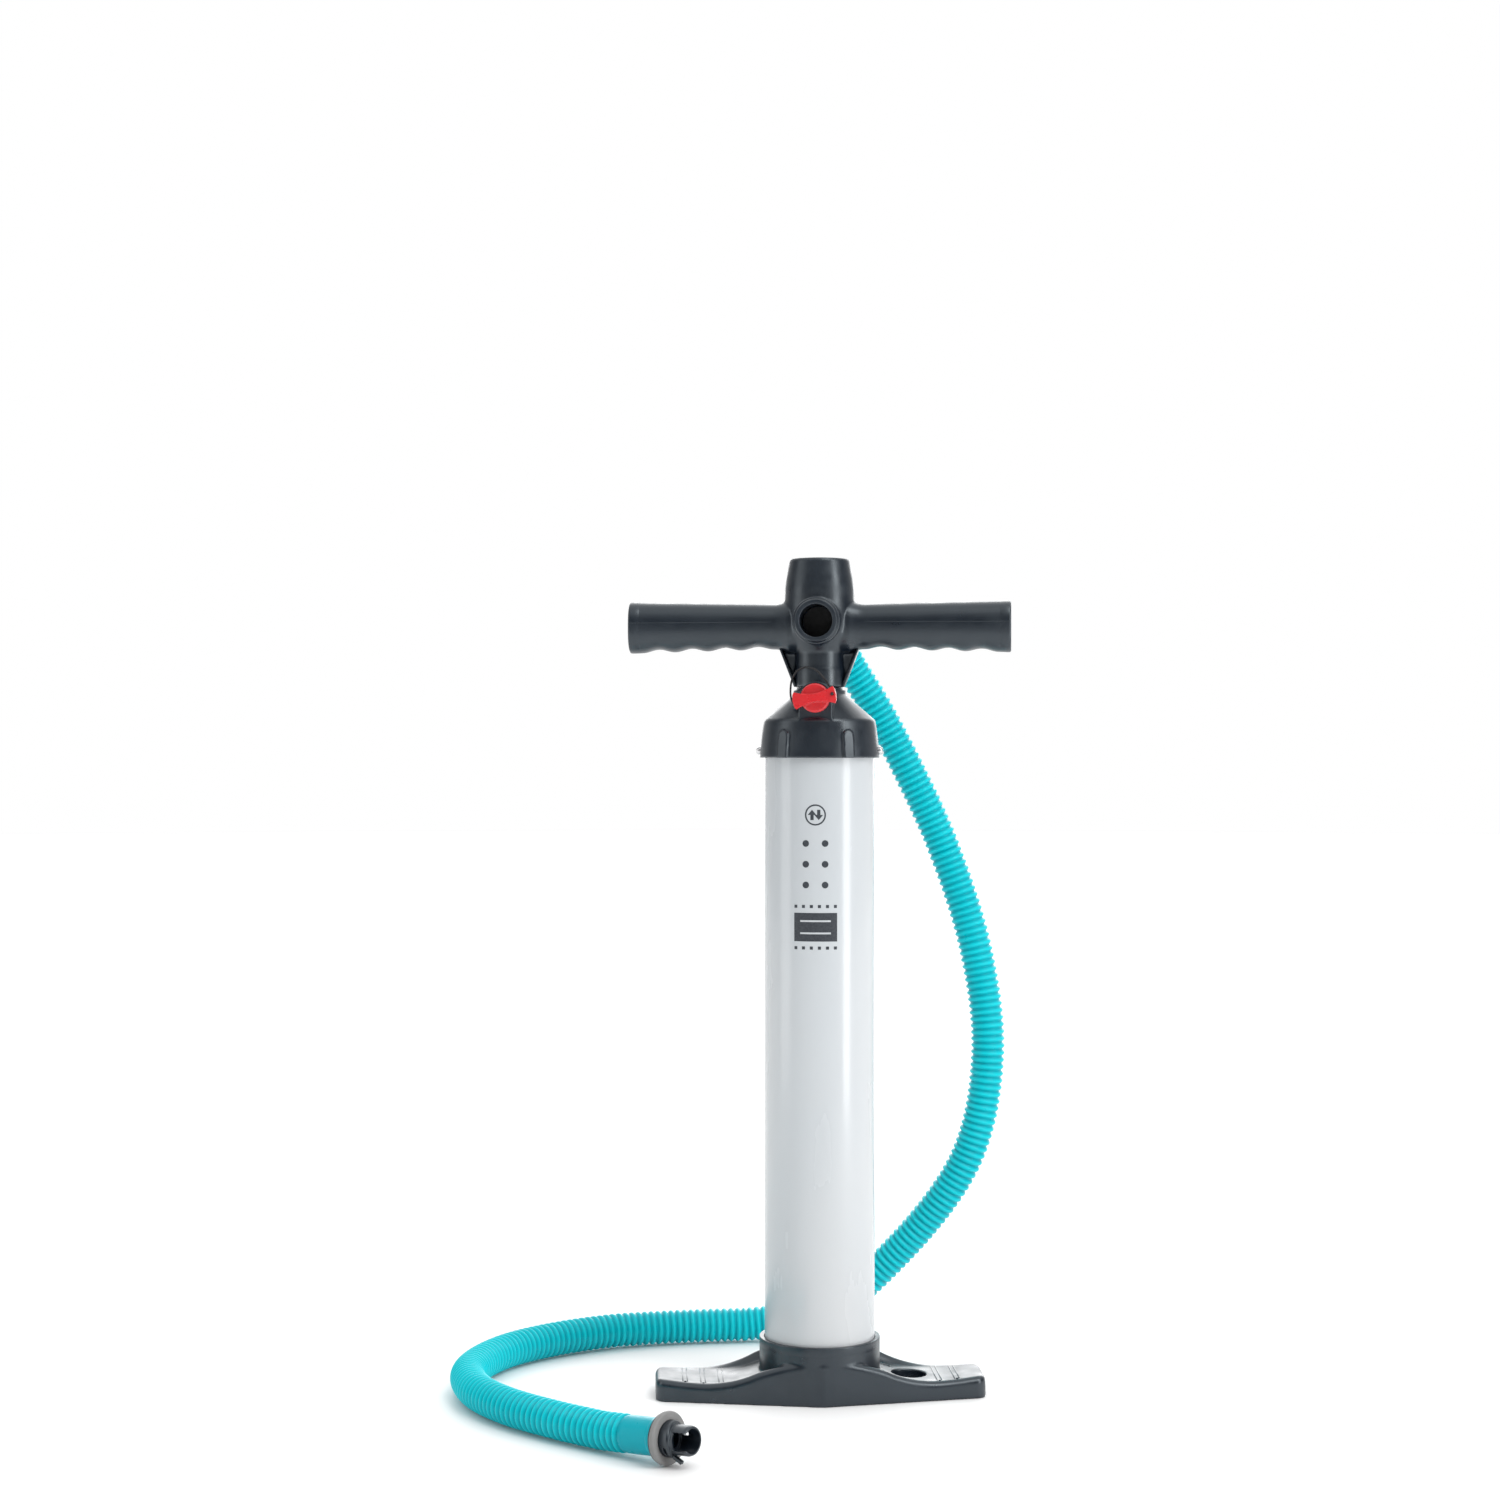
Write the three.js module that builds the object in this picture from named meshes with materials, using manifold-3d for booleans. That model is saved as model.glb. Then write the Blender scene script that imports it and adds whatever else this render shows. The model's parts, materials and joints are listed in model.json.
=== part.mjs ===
// Double action hand pump. Millimetres, +Z up, the front (release plug side) faces -Y.
// The origin is on the barrel's axis, at the underside of the foot.
import * as THREE from "three";
import { mergeVertices } from "three/addons/utils/BufferGeometryUtils.js";
import Module from "manifold-3d";

const wasm = await Module();
wasm.setup();

// ---- driving dimensions ----
const GAP = 0.3; // running clearance between neighbouring pieces
const BIG = 36; // facets of the large rounds
const MID = 24; // facets of the middling rounds
const SMALL = 16; // facets of the small rounds

const BARREL_R = 43.25;
const BARREL_BORE_R = 41.1;
const BARREL_BOTTOM_Z = 12;
const BARREL_TOP_Z = 525;

const FOOT_HALF_LENGTH = 129;
const FOOT_HALF_DEPTH = 48;
const FOOT_TIP_HALF_DEPTH = 25;
const FOOT_RIDGE_Z = 34;
const FOOT_SHOULDER_X = 47.6;
const FOOT_SHOULDER_Z = 25;
const FOOT_LOW_X = 90;
const FOOT_LOW_Z = 14.5;
const FOOT_TIP_Z = 17;
const FOOT_WALL = 3.2;
const COLLAR_R = 47.25;
const COLLAR_TOP_Z = 45;
const FOOT_CORNER_R = 9;
const FOOT_RIB_T = 3;
const FOOT_HOLE_X = 70.3;
const FOOT_HOLE_R = 13.8;
const TREAD_X = 78;
const TREAD_PITCH = 14;
const TREAD_WIDTH = 3.5;
const TREAD_LENGTH = 36;
const TREAD_HEIGHT = 0.6;
const FOOT_TURN = 8.4; // degrees the foot stands turned about the barrel, left wing forward

const CAP_BOTTOM_Z = 499;
const CAP_BOTTOM_R = 47;
const CAP_SKIRT_TOP_Z = 524;
const CAP_SKIRT_TOP_R = 44.5;
const CAP_CONE_Z = 529;
const CAP_CONE_R = 43;
const CAP_NECK_Z = 548.5;
const CAP_NECK_R = 20.6;
const CAP_COLUMN_R = 19.2;
const CAP_SEAL_BORE_R = 16.4;
const CAP_PAD_ANGLE = 32.5;
const CAP_PAD_WIDTH = 9;
const CAP_PAD_TOP_Z = 520.6;
const CAP_PAD_PROUD = 2.5;
const CAP_SCREW_Z = 504.5;
const CAP_SCREW_HOLE_R = 2.1;
const CAP_SCREW_HEAD_R = 3.2;
const GLAND_BOTTOM_Z = 549.3;
const GLAND_TOP_Z = 552.2;

const PLUG_Z = 545;
const PLUG_FACE_Y = -42;
const PLUG_BOSS_R = 13;
const PLUG_BORE_R = 8.2;
const PLUG_DISC_R = 11.25;
const PLUG_WING_HALF = 16.9;
const PLUG_WING_END = 6.7;
const PLUG_WING_WAIST = 3.1;
const PLUG_WING_TILT = 9;
const CORD_R = 0.75;

const ROD_R = 13;
const ROD_BORE_R = 11.4;
const INNER_TUBE_R = 7;
const INNER_TUBE_BORE_R = 6;

const PISTON_R = 40.4;
const PISTON_BOTTOM_Z = 30;
const PISTON_TOP_Z = 58;

const HANDLE_HALF = 150;
const GRIP_Z = 602;
const GRIP_TIP_HALF_HEIGHT = 20.2;
const GRIP_ROOT_HALF_HEIGHT = 17;
const GRIP_TIP_HALF_DEPTH = 17;
const GRIP_ROOT_HALF_DEPTH = 15.5;
const SCALLOP_X = 48.7;
const SCALLOP_PITCH = 26.2;
const SCALLOP_DEPTH = 2.4;
const HUB_R = 27.5;
const HUB_TAPER_Z = 632;
const HUB_TOP_R = 23.7;
const HUB_TOP_Z = 655;
const NECK_R = 19.25;
const NECK_BOTTOM_Z = 554;
const PORT_Z = 605;
const PORT_R = 18;
const PORT_BORE_R = 12.75;
const PORT_FACE_Y = 40;
const GAUGE_RECESS_R = 21;
const GAUGE_FLOOR_Z = 641;
const GAUGE_DIAL_R = 18.4;
const GAUGE_DIAL_Z = 646;
const GAUGE_STOP_ANGLE = -135; // degrees from +Y, anticlockwise

const HOSE_R = 13.2;
const HOSE_BORE_R = 11.9;
const HOSE_TOP_Y = PORT_FACE_Y + 36 + GAP;
const CUFF_R = 13.5;
const CUFF_BORE_R = 9;
const CUFF_SPIGOT_R = 11;
const NOZZLE_AT = new THREE.Vector3(-90, -219, 19);
const NOZZLE_DIRECTION = new THREE.Vector3(0.84, -0.535, 0.072).normalize();
const WASHER_R = 19;
const NOZZLE_R = 13;
const NOZZLE_LENGTH = 22;

// ---- materials ----
function finish(color, roughness, metalness = 0) {
  return () => new THREE.MeshStandardMaterial({ color, roughness, metalness });
}
const darkPlastic = finish(0x2a2e33, 0.5);
const whiteEnamel = finish(0xe4e8ea, 0.2);
const redPlastic = finish(0xdc2f36, 0.35);
const tealRubber = finish(0x1fb3bd, 0.45);
const greyRubber = finish(0x9a9da0, 0.7);
const blackRubber = finish(0x17181a, 0.75);
const steel = finish(0xb9bcc0, 0.3, 1);
const aluminium = finish(0xc9ccd0, 0.35, 1);
const paleDial = finish(0xf2f2ee, 0.5);
const clearLens = finish(0xe8f2f5, 0.05);

// ---- solids ----
// A closed solid from positions and triangles, turned to face outwards.
function solid(geometry) {
  const bare = new THREE.BufferGeometry().setAttribute(
    "position",
    geometry.getAttribute("position"),
  );
  if (geometry.index) bare.setIndex(geometry.index);
  const merged = mergeVertices(bare, 1e-3);
  const all = merged.index.array;
  const kept = [];
  for (let i = 0; i < all.length; i += 3) {
    const [a, b, c] = [all[i], all[i + 1], all[i + 2]];
    if (a !== b && b !== c && a !== c) kept.push(a, b, c);
  }
  const build = (tris) =>
    new wasm.Manifold(
      new wasm.Mesh({
        numProp: 3,
        vertProperties: new Float32Array(merged.attributes.position.array),
        triVerts: new Uint32Array(tris),
      }),
    );
  const made = build(kept);
  if (made.volume() >= 0) return made;
  for (let i = 0; i < kept.length; i += 3) [kept[i + 1], kept[i + 2]] = [kept[i + 2], kept[i + 1]];
  return build(kept);
}

// A solid of revolution; the profile lists [radius, height] and closes itself.
function turned(profile, facets, matrix = upright()) {
  const points = profile.map(([r, h]) => new THREE.Vector2(r, h));
  const onAxis = profile[0][0] === 0 && profile[profile.length - 1][0] === 0;
  if (!onAxis) points.push(points[0].clone());
  return solid(new THREE.LatheGeometry(points, facets).applyMatrix4(matrix));
}

function cylinder(r, from, to, facets, matrix) {
  return turned([[0, from], [r, from], [r, to], [0, to]], facets, matrix);
}

function ring(inner, outer, from, to, facets, matrix) {
  return turned([[inner, from], [outer, from], [outer, to], [inner, to]], facets, matrix);
}

function radians(degrees) {
  return (degrees * Math.PI) / 180;
}
function turnedAboutZ(degrees) {
  return new THREE.Matrix4().makeRotationZ(radians(degrees));
}

// Frames that take a height along +Y to a height along another line.
function upright(x = 0, y = 0) {
  const lift = new THREE.Matrix4().makeRotationX(Math.PI / 2);
  return new THREE.Matrix4().makeTranslation(x, y, 0).multiply(lift);
}
function alongY(x, z) {
  return new THREE.Matrix4().makeTranslation(x, 0, z);
}
function alongX(y, z) {
  return new THREE.Matrix4().makeTranslation(0, y, z).multiply(turnedAboutZ(-90));
}
function alongNozzle() {
  const turn = new THREE.Quaternion().setFromUnitVectors(new THREE.Vector3(0, 1, 0), NOZZLE_DIRECTION);
  return new THREE.Matrix4().compose(NOZZLE_AT, turn, new THREE.Vector3(1, 1, 1));
}

// A flat outline given thickness: along Z, or along Y with the outline in X and Z.
function extruded(shape, depth, curveSegments) {
  return new THREE.ExtrudeGeometry(shape, { depth, bevelEnabled: false, curveSegments });
}
function slab(shape, from, to, facets = 6) {
  return solid(extruded(shape, to - from, facets).translate(0, 0, from));
}
function slabY(shape, from, to, matrix = new THREE.Matrix4(), facets = 6) {
  const g = extruded(shape, to - from, facets).rotateX(Math.PI / 2);
  return solid(g.translate(0, to, 0).applyMatrix4(matrix));
}
function outline(points) {
  return new THREE.Shape(points.map(([a, b]) => new THREE.Vector2(a, b)));
}
function block(x0, x1, y0, y1, z0, z1) {
  return slab(outline([[x0, y0], [x1, y0], [x1, y1], [x0, y1]]), z0, z1);
}

// A skin over rings of equal count: closed round on itself, or closed with a fan at each end.
function skin(rings, around) {
  const sides = rings[0].length;
  const positions = rings.flat().flatMap((p) => [p.x, p.y, p.z]);
  const tris = [];
  const last = around ? rings.length : rings.length - 1;
  for (let i = 0; i < last; i++) {
    const a = i * sides;
    const b = ((i + 1) % rings.length) * sides;
    for (let k = 0; k < sides; k++) {
      const n = (k + 1) % sides;
      tris.push(a + k, a + n, b + n, a + k, b + n, b + k);
    }
  }
  if (!around) {
    const end = (rings.length - 1) * sides;
    for (let k = 1; k < sides - 1; k++) tris.push(0, k + 1, k, end, end + k, end + k + 1);
  }
  const g = new THREE.BufferGeometry();
  g.setAttribute("position", new THREE.Float32BufferAttribute(positions, 3));
  g.setIndex(tris);
  return solid(g);
}

// A round bar or tube along a curve; a bore of 0 makes a bar.
function tubeAlong(path, radius, bore, steps, sides) {
  const section = new THREE.Shape(circlePoints(radius, sides));
  if (bore > 0) section.holes.push(new THREE.Path(circlePoints(bore, sides)));
  return solid(new THREE.ExtrudeGeometry(section, { steps, extrudePath: path, bevelEnabled: false }));
}
function circlePoints(radius, sides) {
  return Array.from({ length: sides }, (_, k) => {
    const t = (2 * Math.PI * k) / sides;
    return new THREE.Vector2(radius * Math.cos(t), radius * Math.sin(t));
  });
}

function alongNozzleAxis(distance) {
  return NOZZLE_AT.clone().addScaledVector(NOZZLE_DIRECTION, distance);
}

// ---- foot ----
function footPlan(inset) {
  const x = FOOT_HALF_LENGTH - inset;
  const tip = FOOT_TIP_HALF_DEPTH - inset;
  const mid = FOOT_HALF_DEPTH - inset;
  const r = FOOT_CORNER_R;
  const s = new THREE.Shape();
  s.moveTo(0, -mid);
  s.lineTo(x - r, -tip);
  s.quadraticCurveTo(x, -tip + 1, x, -tip + r);
  s.lineTo(x, tip - r);
  s.quadraticCurveTo(x, tip - 1, x - r, tip);
  s.lineTo(0, mid);
  s.lineTo(-x + r, tip);
  s.quadraticCurveTo(-x, tip - 1, -x, tip - r);
  s.lineTo(-x, -tip + r);
  s.quadraticCurveTo(-x, -tip + 1, -x + r, -tip);
  s.closePath();
  return s;
}

// The foot's top line: a ridge by the collar, a dip on each wing and a lip at each tip.
function footSide(lower) {
  const half = new THREE.SplineCurve([
    new THREE.Vector2(12, FOOT_RIDGE_Z),
    new THREE.Vector2(FOOT_SHOULDER_X, FOOT_SHOULDER_Z),
    new THREE.Vector2(70, 16.8),
    new THREE.Vector2(FOOT_LOW_X, FOOT_LOW_Z),
    new THREE.Vector2(FOOT_HALF_LENGTH + 1, FOOT_TIP_Z),
  ]).getPoints(12);
  const right = half.map((p) => [p.x, p.y - lower]);
  const left = right.map(([x, z]) => [-x, z]).reverse();
  const x = FOOT_HALF_LENGTH + 1;
  return outline([[-x, -1], [x, -1], ...right.reverse(), ...left.reverse()]);
}

function footTreads() {
  const treads = [];
  for (const side of [-1, 1])
    for (let k = 0; k < 3; k++) {
      const x = side * (TREAD_X + k * TREAD_PITCH);
      const top = (k === 0 ? FOOT_LOW_Z + 1 : FOOT_LOW_Z + 0.3) + TREAD_HEIGHT;
      const [w, y] = [TREAD_WIDTH / 2, TREAD_LENGTH / 2];
      treads.push(block(x - w, x + w, -y, y, 8, top));
    }
  return treads;
}

// What stays solid under the foot: round the socket, round the hole, and the ribs.
function footRibs() {
  const [below, above] = [-2, 41];
  const rib = (x) => block(x - FOOT_RIB_T / 2, x + FOOT_RIB_T / 2, -60, 60, below, above);
  return cylinder(COLLAR_R + 4, below, above, BIG)
    .add(cylinder(FOOT_HOLE_R + FOOT_RIB_T, below, above, SMALL, upright(FOOT_HOLE_X, 0)))
    .add(block(-FOOT_HALF_LENGTH, FOOT_HALF_LENGTH, -FOOT_RIB_T / 2, FOOT_RIB_T / 2, below, above))
    .add(rib(-FOOT_LOW_X))
    .add(rib(FOOT_LOW_X + 9));
}

function footBody() {
  const pocket = slab(footPlan(FOOT_WALL), -1, 40).intersect(slabY(footSide(FOOT_WALL), -60, 60));
  const edge = 1.5;
  const [r, top] = [COLLAR_R, COLLAR_TOP_Z];
  const collar = turned([[0, 0], [r, 0], [r, top - edge], [r - edge, top], [0, top]], BIG);
  const slot = block(45.5, 55.5, 17, 20.5, -3, 42).subtract(cylinder(COLLAR_R, -4, 43, BIG));
  return footTreads()
    .reduce((body, tread) => body.add(tread), slab(footPlan(0), 0, 40).intersect(slabY(footSide(0), -60, 60)))
    .subtract(pocket.subtract(footRibs()))
    .add(collar)
    .subtract(cylinder(BARREL_R + 2 * GAP, BARREL_BOTTOM_Z - GAP, COLLAR_TOP_Z + 1, BIG))
    .subtract(cylinder(FOOT_HOLE_R, -3, 42, SMALL, upright(FOOT_HOLE_X, 0)))
    .subtract(slot);
}

// ---- barrel ----
function barrelTube() {
  return ring(BARREL_BORE_R, BARREL_R, BARREL_BOTTOM_Z, BARREL_TOP_Z, BIG).subtract(
    cylinder(CAP_SCREW_HOLE_R, -60, 60, 12, alongX(0, CAP_SCREW_Z)),
  );
}
function bottomPlug() {
  const r = BARREL_BORE_R - 0.4;
  return turned([[0, 12.3], [r, 12.3], [r, 17], [38, 17], [38, 21], [r, 21], [r, 24.5], [0, 24.5]], BIG);
}
function bottomRing() {
  return ring(38.3, BARREL_BORE_R - 0.2, 17.3, 20.7, BIG);
}

// ---- cap ----
function capOuter(proud) {
  return [
    [0, CAP_BOTTOM_Z],
    [CAP_BOTTOM_R + proud, CAP_BOTTOM_Z],
    [CAP_SKIRT_TOP_R + proud, CAP_SKIRT_TOP_Z],
    [CAP_CONE_R + 0.8 + proud, CAP_CONE_Z - 2],
    [CAP_CONE_R + proud, CAP_CONE_Z],
    [CAP_NECK_R + proud, CAP_NECK_Z],
    [CAP_NECK_R + proud, CAP_NECK_Z + 0.5],
    [0, CAP_NECK_Z + 0.5],
  ];
}
function archShape(half, bottom, centre) {
  const s = new THREE.Shape();
  s.moveTo(-half, bottom);
  s.lineTo(half, bottom);
  s.lineTo(half, centre);
  s.absarc(0, centre, half, 0, Math.PI, false);
  s.lineTo(-half, bottom);
  return s;
}
function capBody() {
  let body = turned(capOuter(0), BIG);
  const hull = turned(capOuter(CAP_PAD_PROUD), BIG);
  const half = CAP_PAD_WIDTH / 2;
  for (const side of [-1, 1]) {
    const turn = turnedAboutZ(side * CAP_PAD_ANGLE);
    const pad = slabY(archShape(half, CAP_BOTTOM_Z, CAP_PAD_TOP_Z - half), -52, -40, turn, 6);
    body = body.add(pad.intersect(hull));
  }
  const boss = slabY(archShape(PLUG_BOSS_R, CAP_CONE_Z - 1, PLUG_Z), PLUG_FACE_Y, -12, undefined, 12);
  body = body.add(boss.subtract(cylinder(CAP_NECK_R + 0.6, CAP_NECK_Z + 0.5, 570, MID)));
  body = body.subtract(
    turned(
      [
        [0, CAP_BOTTOM_Z - 1],
        [BARREL_R + 0.4, CAP_BOTTOM_Z - 1],
        [BARREL_R + 0.4, BARREL_TOP_Z + 1.6],
        [CAP_CONE_R - 2, BARREL_TOP_Z + 1.9],
        [CAP_COLUMN_R + 1.3, 544.8],
        [CAP_COLUMN_R, 544.8],
        [CAP_COLUMN_R, 528],
        [0, 528],
      ],
      BIG,
    ),
  );
  body = body.subtract(cylinder(ROD_R + 0.4, 520, 560, MID));
  body = body.subtract(cylinder(CAP_SEAL_BORE_R, 536, 560, MID));
  body = body.subtract(cylinder(PLUG_BORE_R, PLUG_FACE_Y - 1, -22.5, SMALL, alongY(0, PLUG_Z)));
  return body.subtract(cylinder(CAP_SCREW_HOLE_R, -60, 60, 12, alongX(0, CAP_SCREW_Z)));
}
function capGasket() {
  return ring(BARREL_BORE_R + 0.2, BARREL_R - 0.1, BARREL_TOP_Z + 0.2, BARREL_TOP_Z + 1.3, BIG);
}
function capScrew(side) {
  const r = CAP_SCREW_HEAD_R;
  const profile = [[0, 38], [1.7, 38], [1.7, 47.2], [r, 47.2], [r, 48.6], [2, 50], [0, 50]];
  const [low, high] = [CAP_SCREW_Z - 1.8, CAP_SCREW_Z + 1.8];
  const slot = slabY(outline([[49.2, low], [51, low], [51, high], [49.2, high]]), -0.45, 0.45);
  const screw = turned(profile, SMALL, alongX(0, CAP_SCREW_Z)).subtract(slot);
  return side > 0 ? screw : screw.rotate([0, 0, 180]);
}
function glandNut() {
  const [inner, outer] = [ROD_R + 0.5, CAP_NECK_R - 0.1];
  const [low, high] = [GLAND_BOTTOM_Z, GLAND_TOP_Z];
  return turned([[inner, low], [outer, low], [outer, high - 0.8], [outer - 0.8, high], [inner, high]], MID);
}
function rodBush() {
  return ring(ROD_R + 0.3, CAP_SEAL_BORE_R - GAP, 536.3, 542, MID);
}
function rodSeal() {
  const profile = [[13.35, 542.3], [16.1, 542.3], [16.1, 548.9], [14.6, 548.9], [14.6, 546], [13.3, 548.9]];
  return turned(profile, MID);
}

// ---- release plug ----
function plugKnob() {
  const y = PLUG_FACE_Y - GAP;
  let body = turned(
    [
      [0, y - 8], [PLUG_DISC_R - 1, y - 8], [PLUG_DISC_R, y - 7], [PLUG_DISC_R, y], [7.8, y], [7.8, y + 4],
      [6.4, y + 4], [6.4, y + 8], [7.8, y + 8], [7.8, y + 15], [0, y + 15],
    ],
    SMALL,
    alongY(0, PLUG_Z),
  );
  const s = new THREE.Shape();
  s.moveTo(-PLUG_WING_HALF + 2, -PLUG_WING_END);
  s.quadraticCurveTo(-6, -PLUG_WING_WAIST, 0, -PLUG_WING_WAIST);
  s.quadraticCurveTo(6, -PLUG_WING_WAIST, PLUG_WING_HALF - 2, -PLUG_WING_END);
  s.quadraticCurveTo(PLUG_WING_HALF + 1.6, 0, PLUG_WING_HALF - 2, PLUG_WING_END);
  s.quadraticCurveTo(6, PLUG_WING_WAIST, 0, PLUG_WING_WAIST);
  s.quadraticCurveTo(-6, PLUG_WING_WAIST, -PLUG_WING_HALF + 2, PLUG_WING_END);
  s.quadraticCurveTo(-PLUG_WING_HALF - 1.6, 0, -PLUG_WING_HALF + 2, -PLUG_WING_END);
  const tilt = new THREE.Matrix4()
    .makeTranslation(0, 0, PLUG_Z)
    .multiply(new THREE.Matrix4().makeRotationY(radians(-PLUG_WING_TILT)));
  body = body.add(slabY(s, y - 13.5, y - 7, tilt, 5));
  const eye = cordEye();
  return body.subtract(cylinder(1.4, -70, -40, 12, alongY(eye.x, eye.z)));
}
function cordEye() {
  const t = radians(PLUG_WING_TILT + 3);
  return new THREE.Vector3(14 * Math.cos(t), 0, PLUG_Z + 14 * Math.sin(t));
}
function plugRing() {
  const y = PLUG_FACE_Y - GAP;
  return ring(6.7, PLUG_BORE_R - 0.25, y + 4.3, y + 7.7, SMALL, alongY(0, PLUG_Z));
}
function plugCord() {
  const eye = cordEye();
  const line = new THREE.CatmullRomCurve3([
    new THREE.Vector3(eye.x, -59, eye.z),
    new THREE.Vector3(eye.x, -48, eye.z),
    new THREE.Vector3(eye.x - 1, -44.5, eye.z + 6),
    new THREE.Vector3(7, -44, 565),
    new THREE.Vector3(-5, -41, 570),
    new THREE.Vector3(-15, -36, 561),
    new THREE.Vector3(-18.6, -33.5, 546),
    new THREE.Vector3(-16.5, -35.5, 536.5),
  ]);
  return tubeAlong(line, CORD_R, 0, 28, 6);
}

// ---- piston and rod ----
function pistonBody() {
  const r = PISTON_R;
  const body = turned(
    [
      [0, PISTON_BOTTOM_Z], [r, PISTON_BOTTOM_Z], [r, 34], [37, 34], [37, 39], [r, 39], [r, 40], [36, 40],
      [36, 48], [r, 48], [r, 49], [37, 49], [37, 54], [r, 54], [r, PISTON_TOP_Z], [0, PISTON_TOP_Z],
    ],
    BIG,
  );
  return body
    .subtract(cylinder(ROD_R + GAP, 46, PISTON_TOP_Z + 1, MID))
    .subtract(cylinder(INNER_TUBE_R + GAP, 38, PISTON_TOP_Z + 1, SMALL))
    .subtract(cylinder(4.5, PISTON_BOTTOM_Z - 1, 39, 16));
}
function pistonSeal() {
  return turned([[36.3, 40.3], [40.6, 40.3], [40.9, 42], [40.9, 46], [40.6, 47.7], [36.3, 47.7]], BIG);
}
function valveFlap() {
  return cylinder(14, 28.2, PISTON_BOTTOM_Z - GAP, SMALL);
}
function rodOuterTube() {
  return ring(ROD_BORE_R, ROD_R, 46.3, 587.7, MID).subtract(cylinder(3, -20, 20, 12, alongY(0, 66)));
}
function rodInnerTube() {
  return ring(INNER_TUBE_BORE_R, INNER_TUBE_R, 38.3, 600, SMALL);
}

// ---- handle ----
// Grip cross-sections: taller at the tips, with finger scallops along the underside.
function gripSection(x, shrink, sides) {
  const t = Math.min(1, Math.abs(x) / HANDLE_HALF);
  const high = GRIP_ROOT_HALF_HEIGHT + (GRIP_TIP_HALF_HEIGHT - GRIP_ROOT_HALF_HEIGHT) * t - shrink;
  const deep = GRIP_ROOT_HALF_DEPTH + (GRIP_TIP_HALF_DEPTH - GRIP_ROOT_HALF_DEPTH) * t - shrink;
  const mid = GRIP_Z - 0.5 * t;
  const phase = (Math.abs(x) - SCALLOP_X) / SCALLOP_PITCH;
  const grooved = shrink === 0 && phase > -0.5 && phase < 3.5;
  const bite = grooved ? SCALLOP_DEPTH * (0.5 + 0.5 * Math.cos(2 * Math.PI * phase)) : 0;
  return Array.from({ length: sides }, (_, k) => {
    const a = (2 * Math.PI * k) / sides;
    const c = Math.cos(a);
    const s = Math.sin(a);
    const y = deep * Math.sign(c) * Math.abs(c) ** 0.8;
    const z = (s < 0 ? high - bite : high) * Math.sign(s) * Math.abs(s) ** 0.8;
    return new THREE.Vector3(x, y, mid + z);
  });
}
function gripBar() {
  const stations = [];
  for (let x = -HANDLE_HALF; x <= HANDLE_HALF + 0.01; x += SCALLOP_PITCH / 4) stations.push(x);
  stations.push(HANDLE_HALF);
  return skin(stations.map((x) => gripSection(x, 0, 14)), false);
}
function gripHollow(side) {
  return skin([45, HANDLE_HALF + 1].map((x) => gripSection(side * x, 6, 12)), false);
}
function endCap(side) {
  return skin([138, HANDLE_HALF - 0.6].map((x) => gripSection(side * x, 6.5, 12)), false);
}
function gusset(side) {
  const web = outline([[side * 15, 556], [side * 19.6, 556], [side * 31, 588], [side * 15, 588]]);
  const edge = outline([[side * 18, 554.5], [side * 19.4, 554.5], [side * 32, 588], [side * 29, 588]]);
  return slabY(web, -2, 2).add(slabY(edge, -6, 6));
}
function handleBody() {
  const face = PORT_FACE_Y;
  let body = gripBar();
  for (const side of [-1, 1]) body = body.subtract(gripHollow(side));
  body = body.add(
    turned(
      [
        [0, NECK_BOTTOM_Z], [NECK_R, NECK_BOTTOM_Z], [NECK_R, 568], [NECK_R - 0.5, 570], [NECK_R - 0.5, 584],
        [HUB_R, 588], [HUB_R, HUB_TAPER_Z], [HUB_TOP_R, HUB_TOP_Z - 1], [HUB_TOP_R - 1, HUB_TOP_Z],
        [0, HUB_TOP_Z],
      ],
      MID,
    ),
  );
  body = body.add(gusset(-1)).add(gusset(1));
  body = body.add(
    turned(
      [
        [0, -face], [PORT_R, -face], [PORT_R, -face + 4], [PORT_R - 0.8, -face + 5],
        [PORT_R - 0.8, face - 5], [PORT_R, face - 4], [PORT_R, face], [0, face],
      ],
      MID,
      alongY(0, PORT_Z),
    ),
  );
  body = body.subtract(cylinder(ROD_R + GAP, NECK_BOTTOM_Z - 1, 588, MID));
  body = body.subtract(cylinder(ROD_BORE_R, 587, 594, SMALL));
  body = body.subtract(cylinder(INNER_TUBE_R + GAP, 590, 600.3, SMALL));
  body = body.subtract(cylinder(5.5, 599, PORT_Z, SMALL));
  body = body.subtract(cylinder(5, -15, 0, SMALL, alongY(0, PORT_Z)));
  body = body.subtract(cylinder(PORT_BORE_R, -PORT_FACE_Y - 1, -14, SMALL, alongY(0, PORT_Z)));
  body = body.subtract(cylinder(PORT_BORE_R, 9, PORT_FACE_Y + 1, SMALL, alongY(0, PORT_Z)));
  return body.subtract(cylinder(GAUGE_RECESS_R, GAUGE_FLOOR_Z, HUB_TOP_Z + 1, MID));
}

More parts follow.
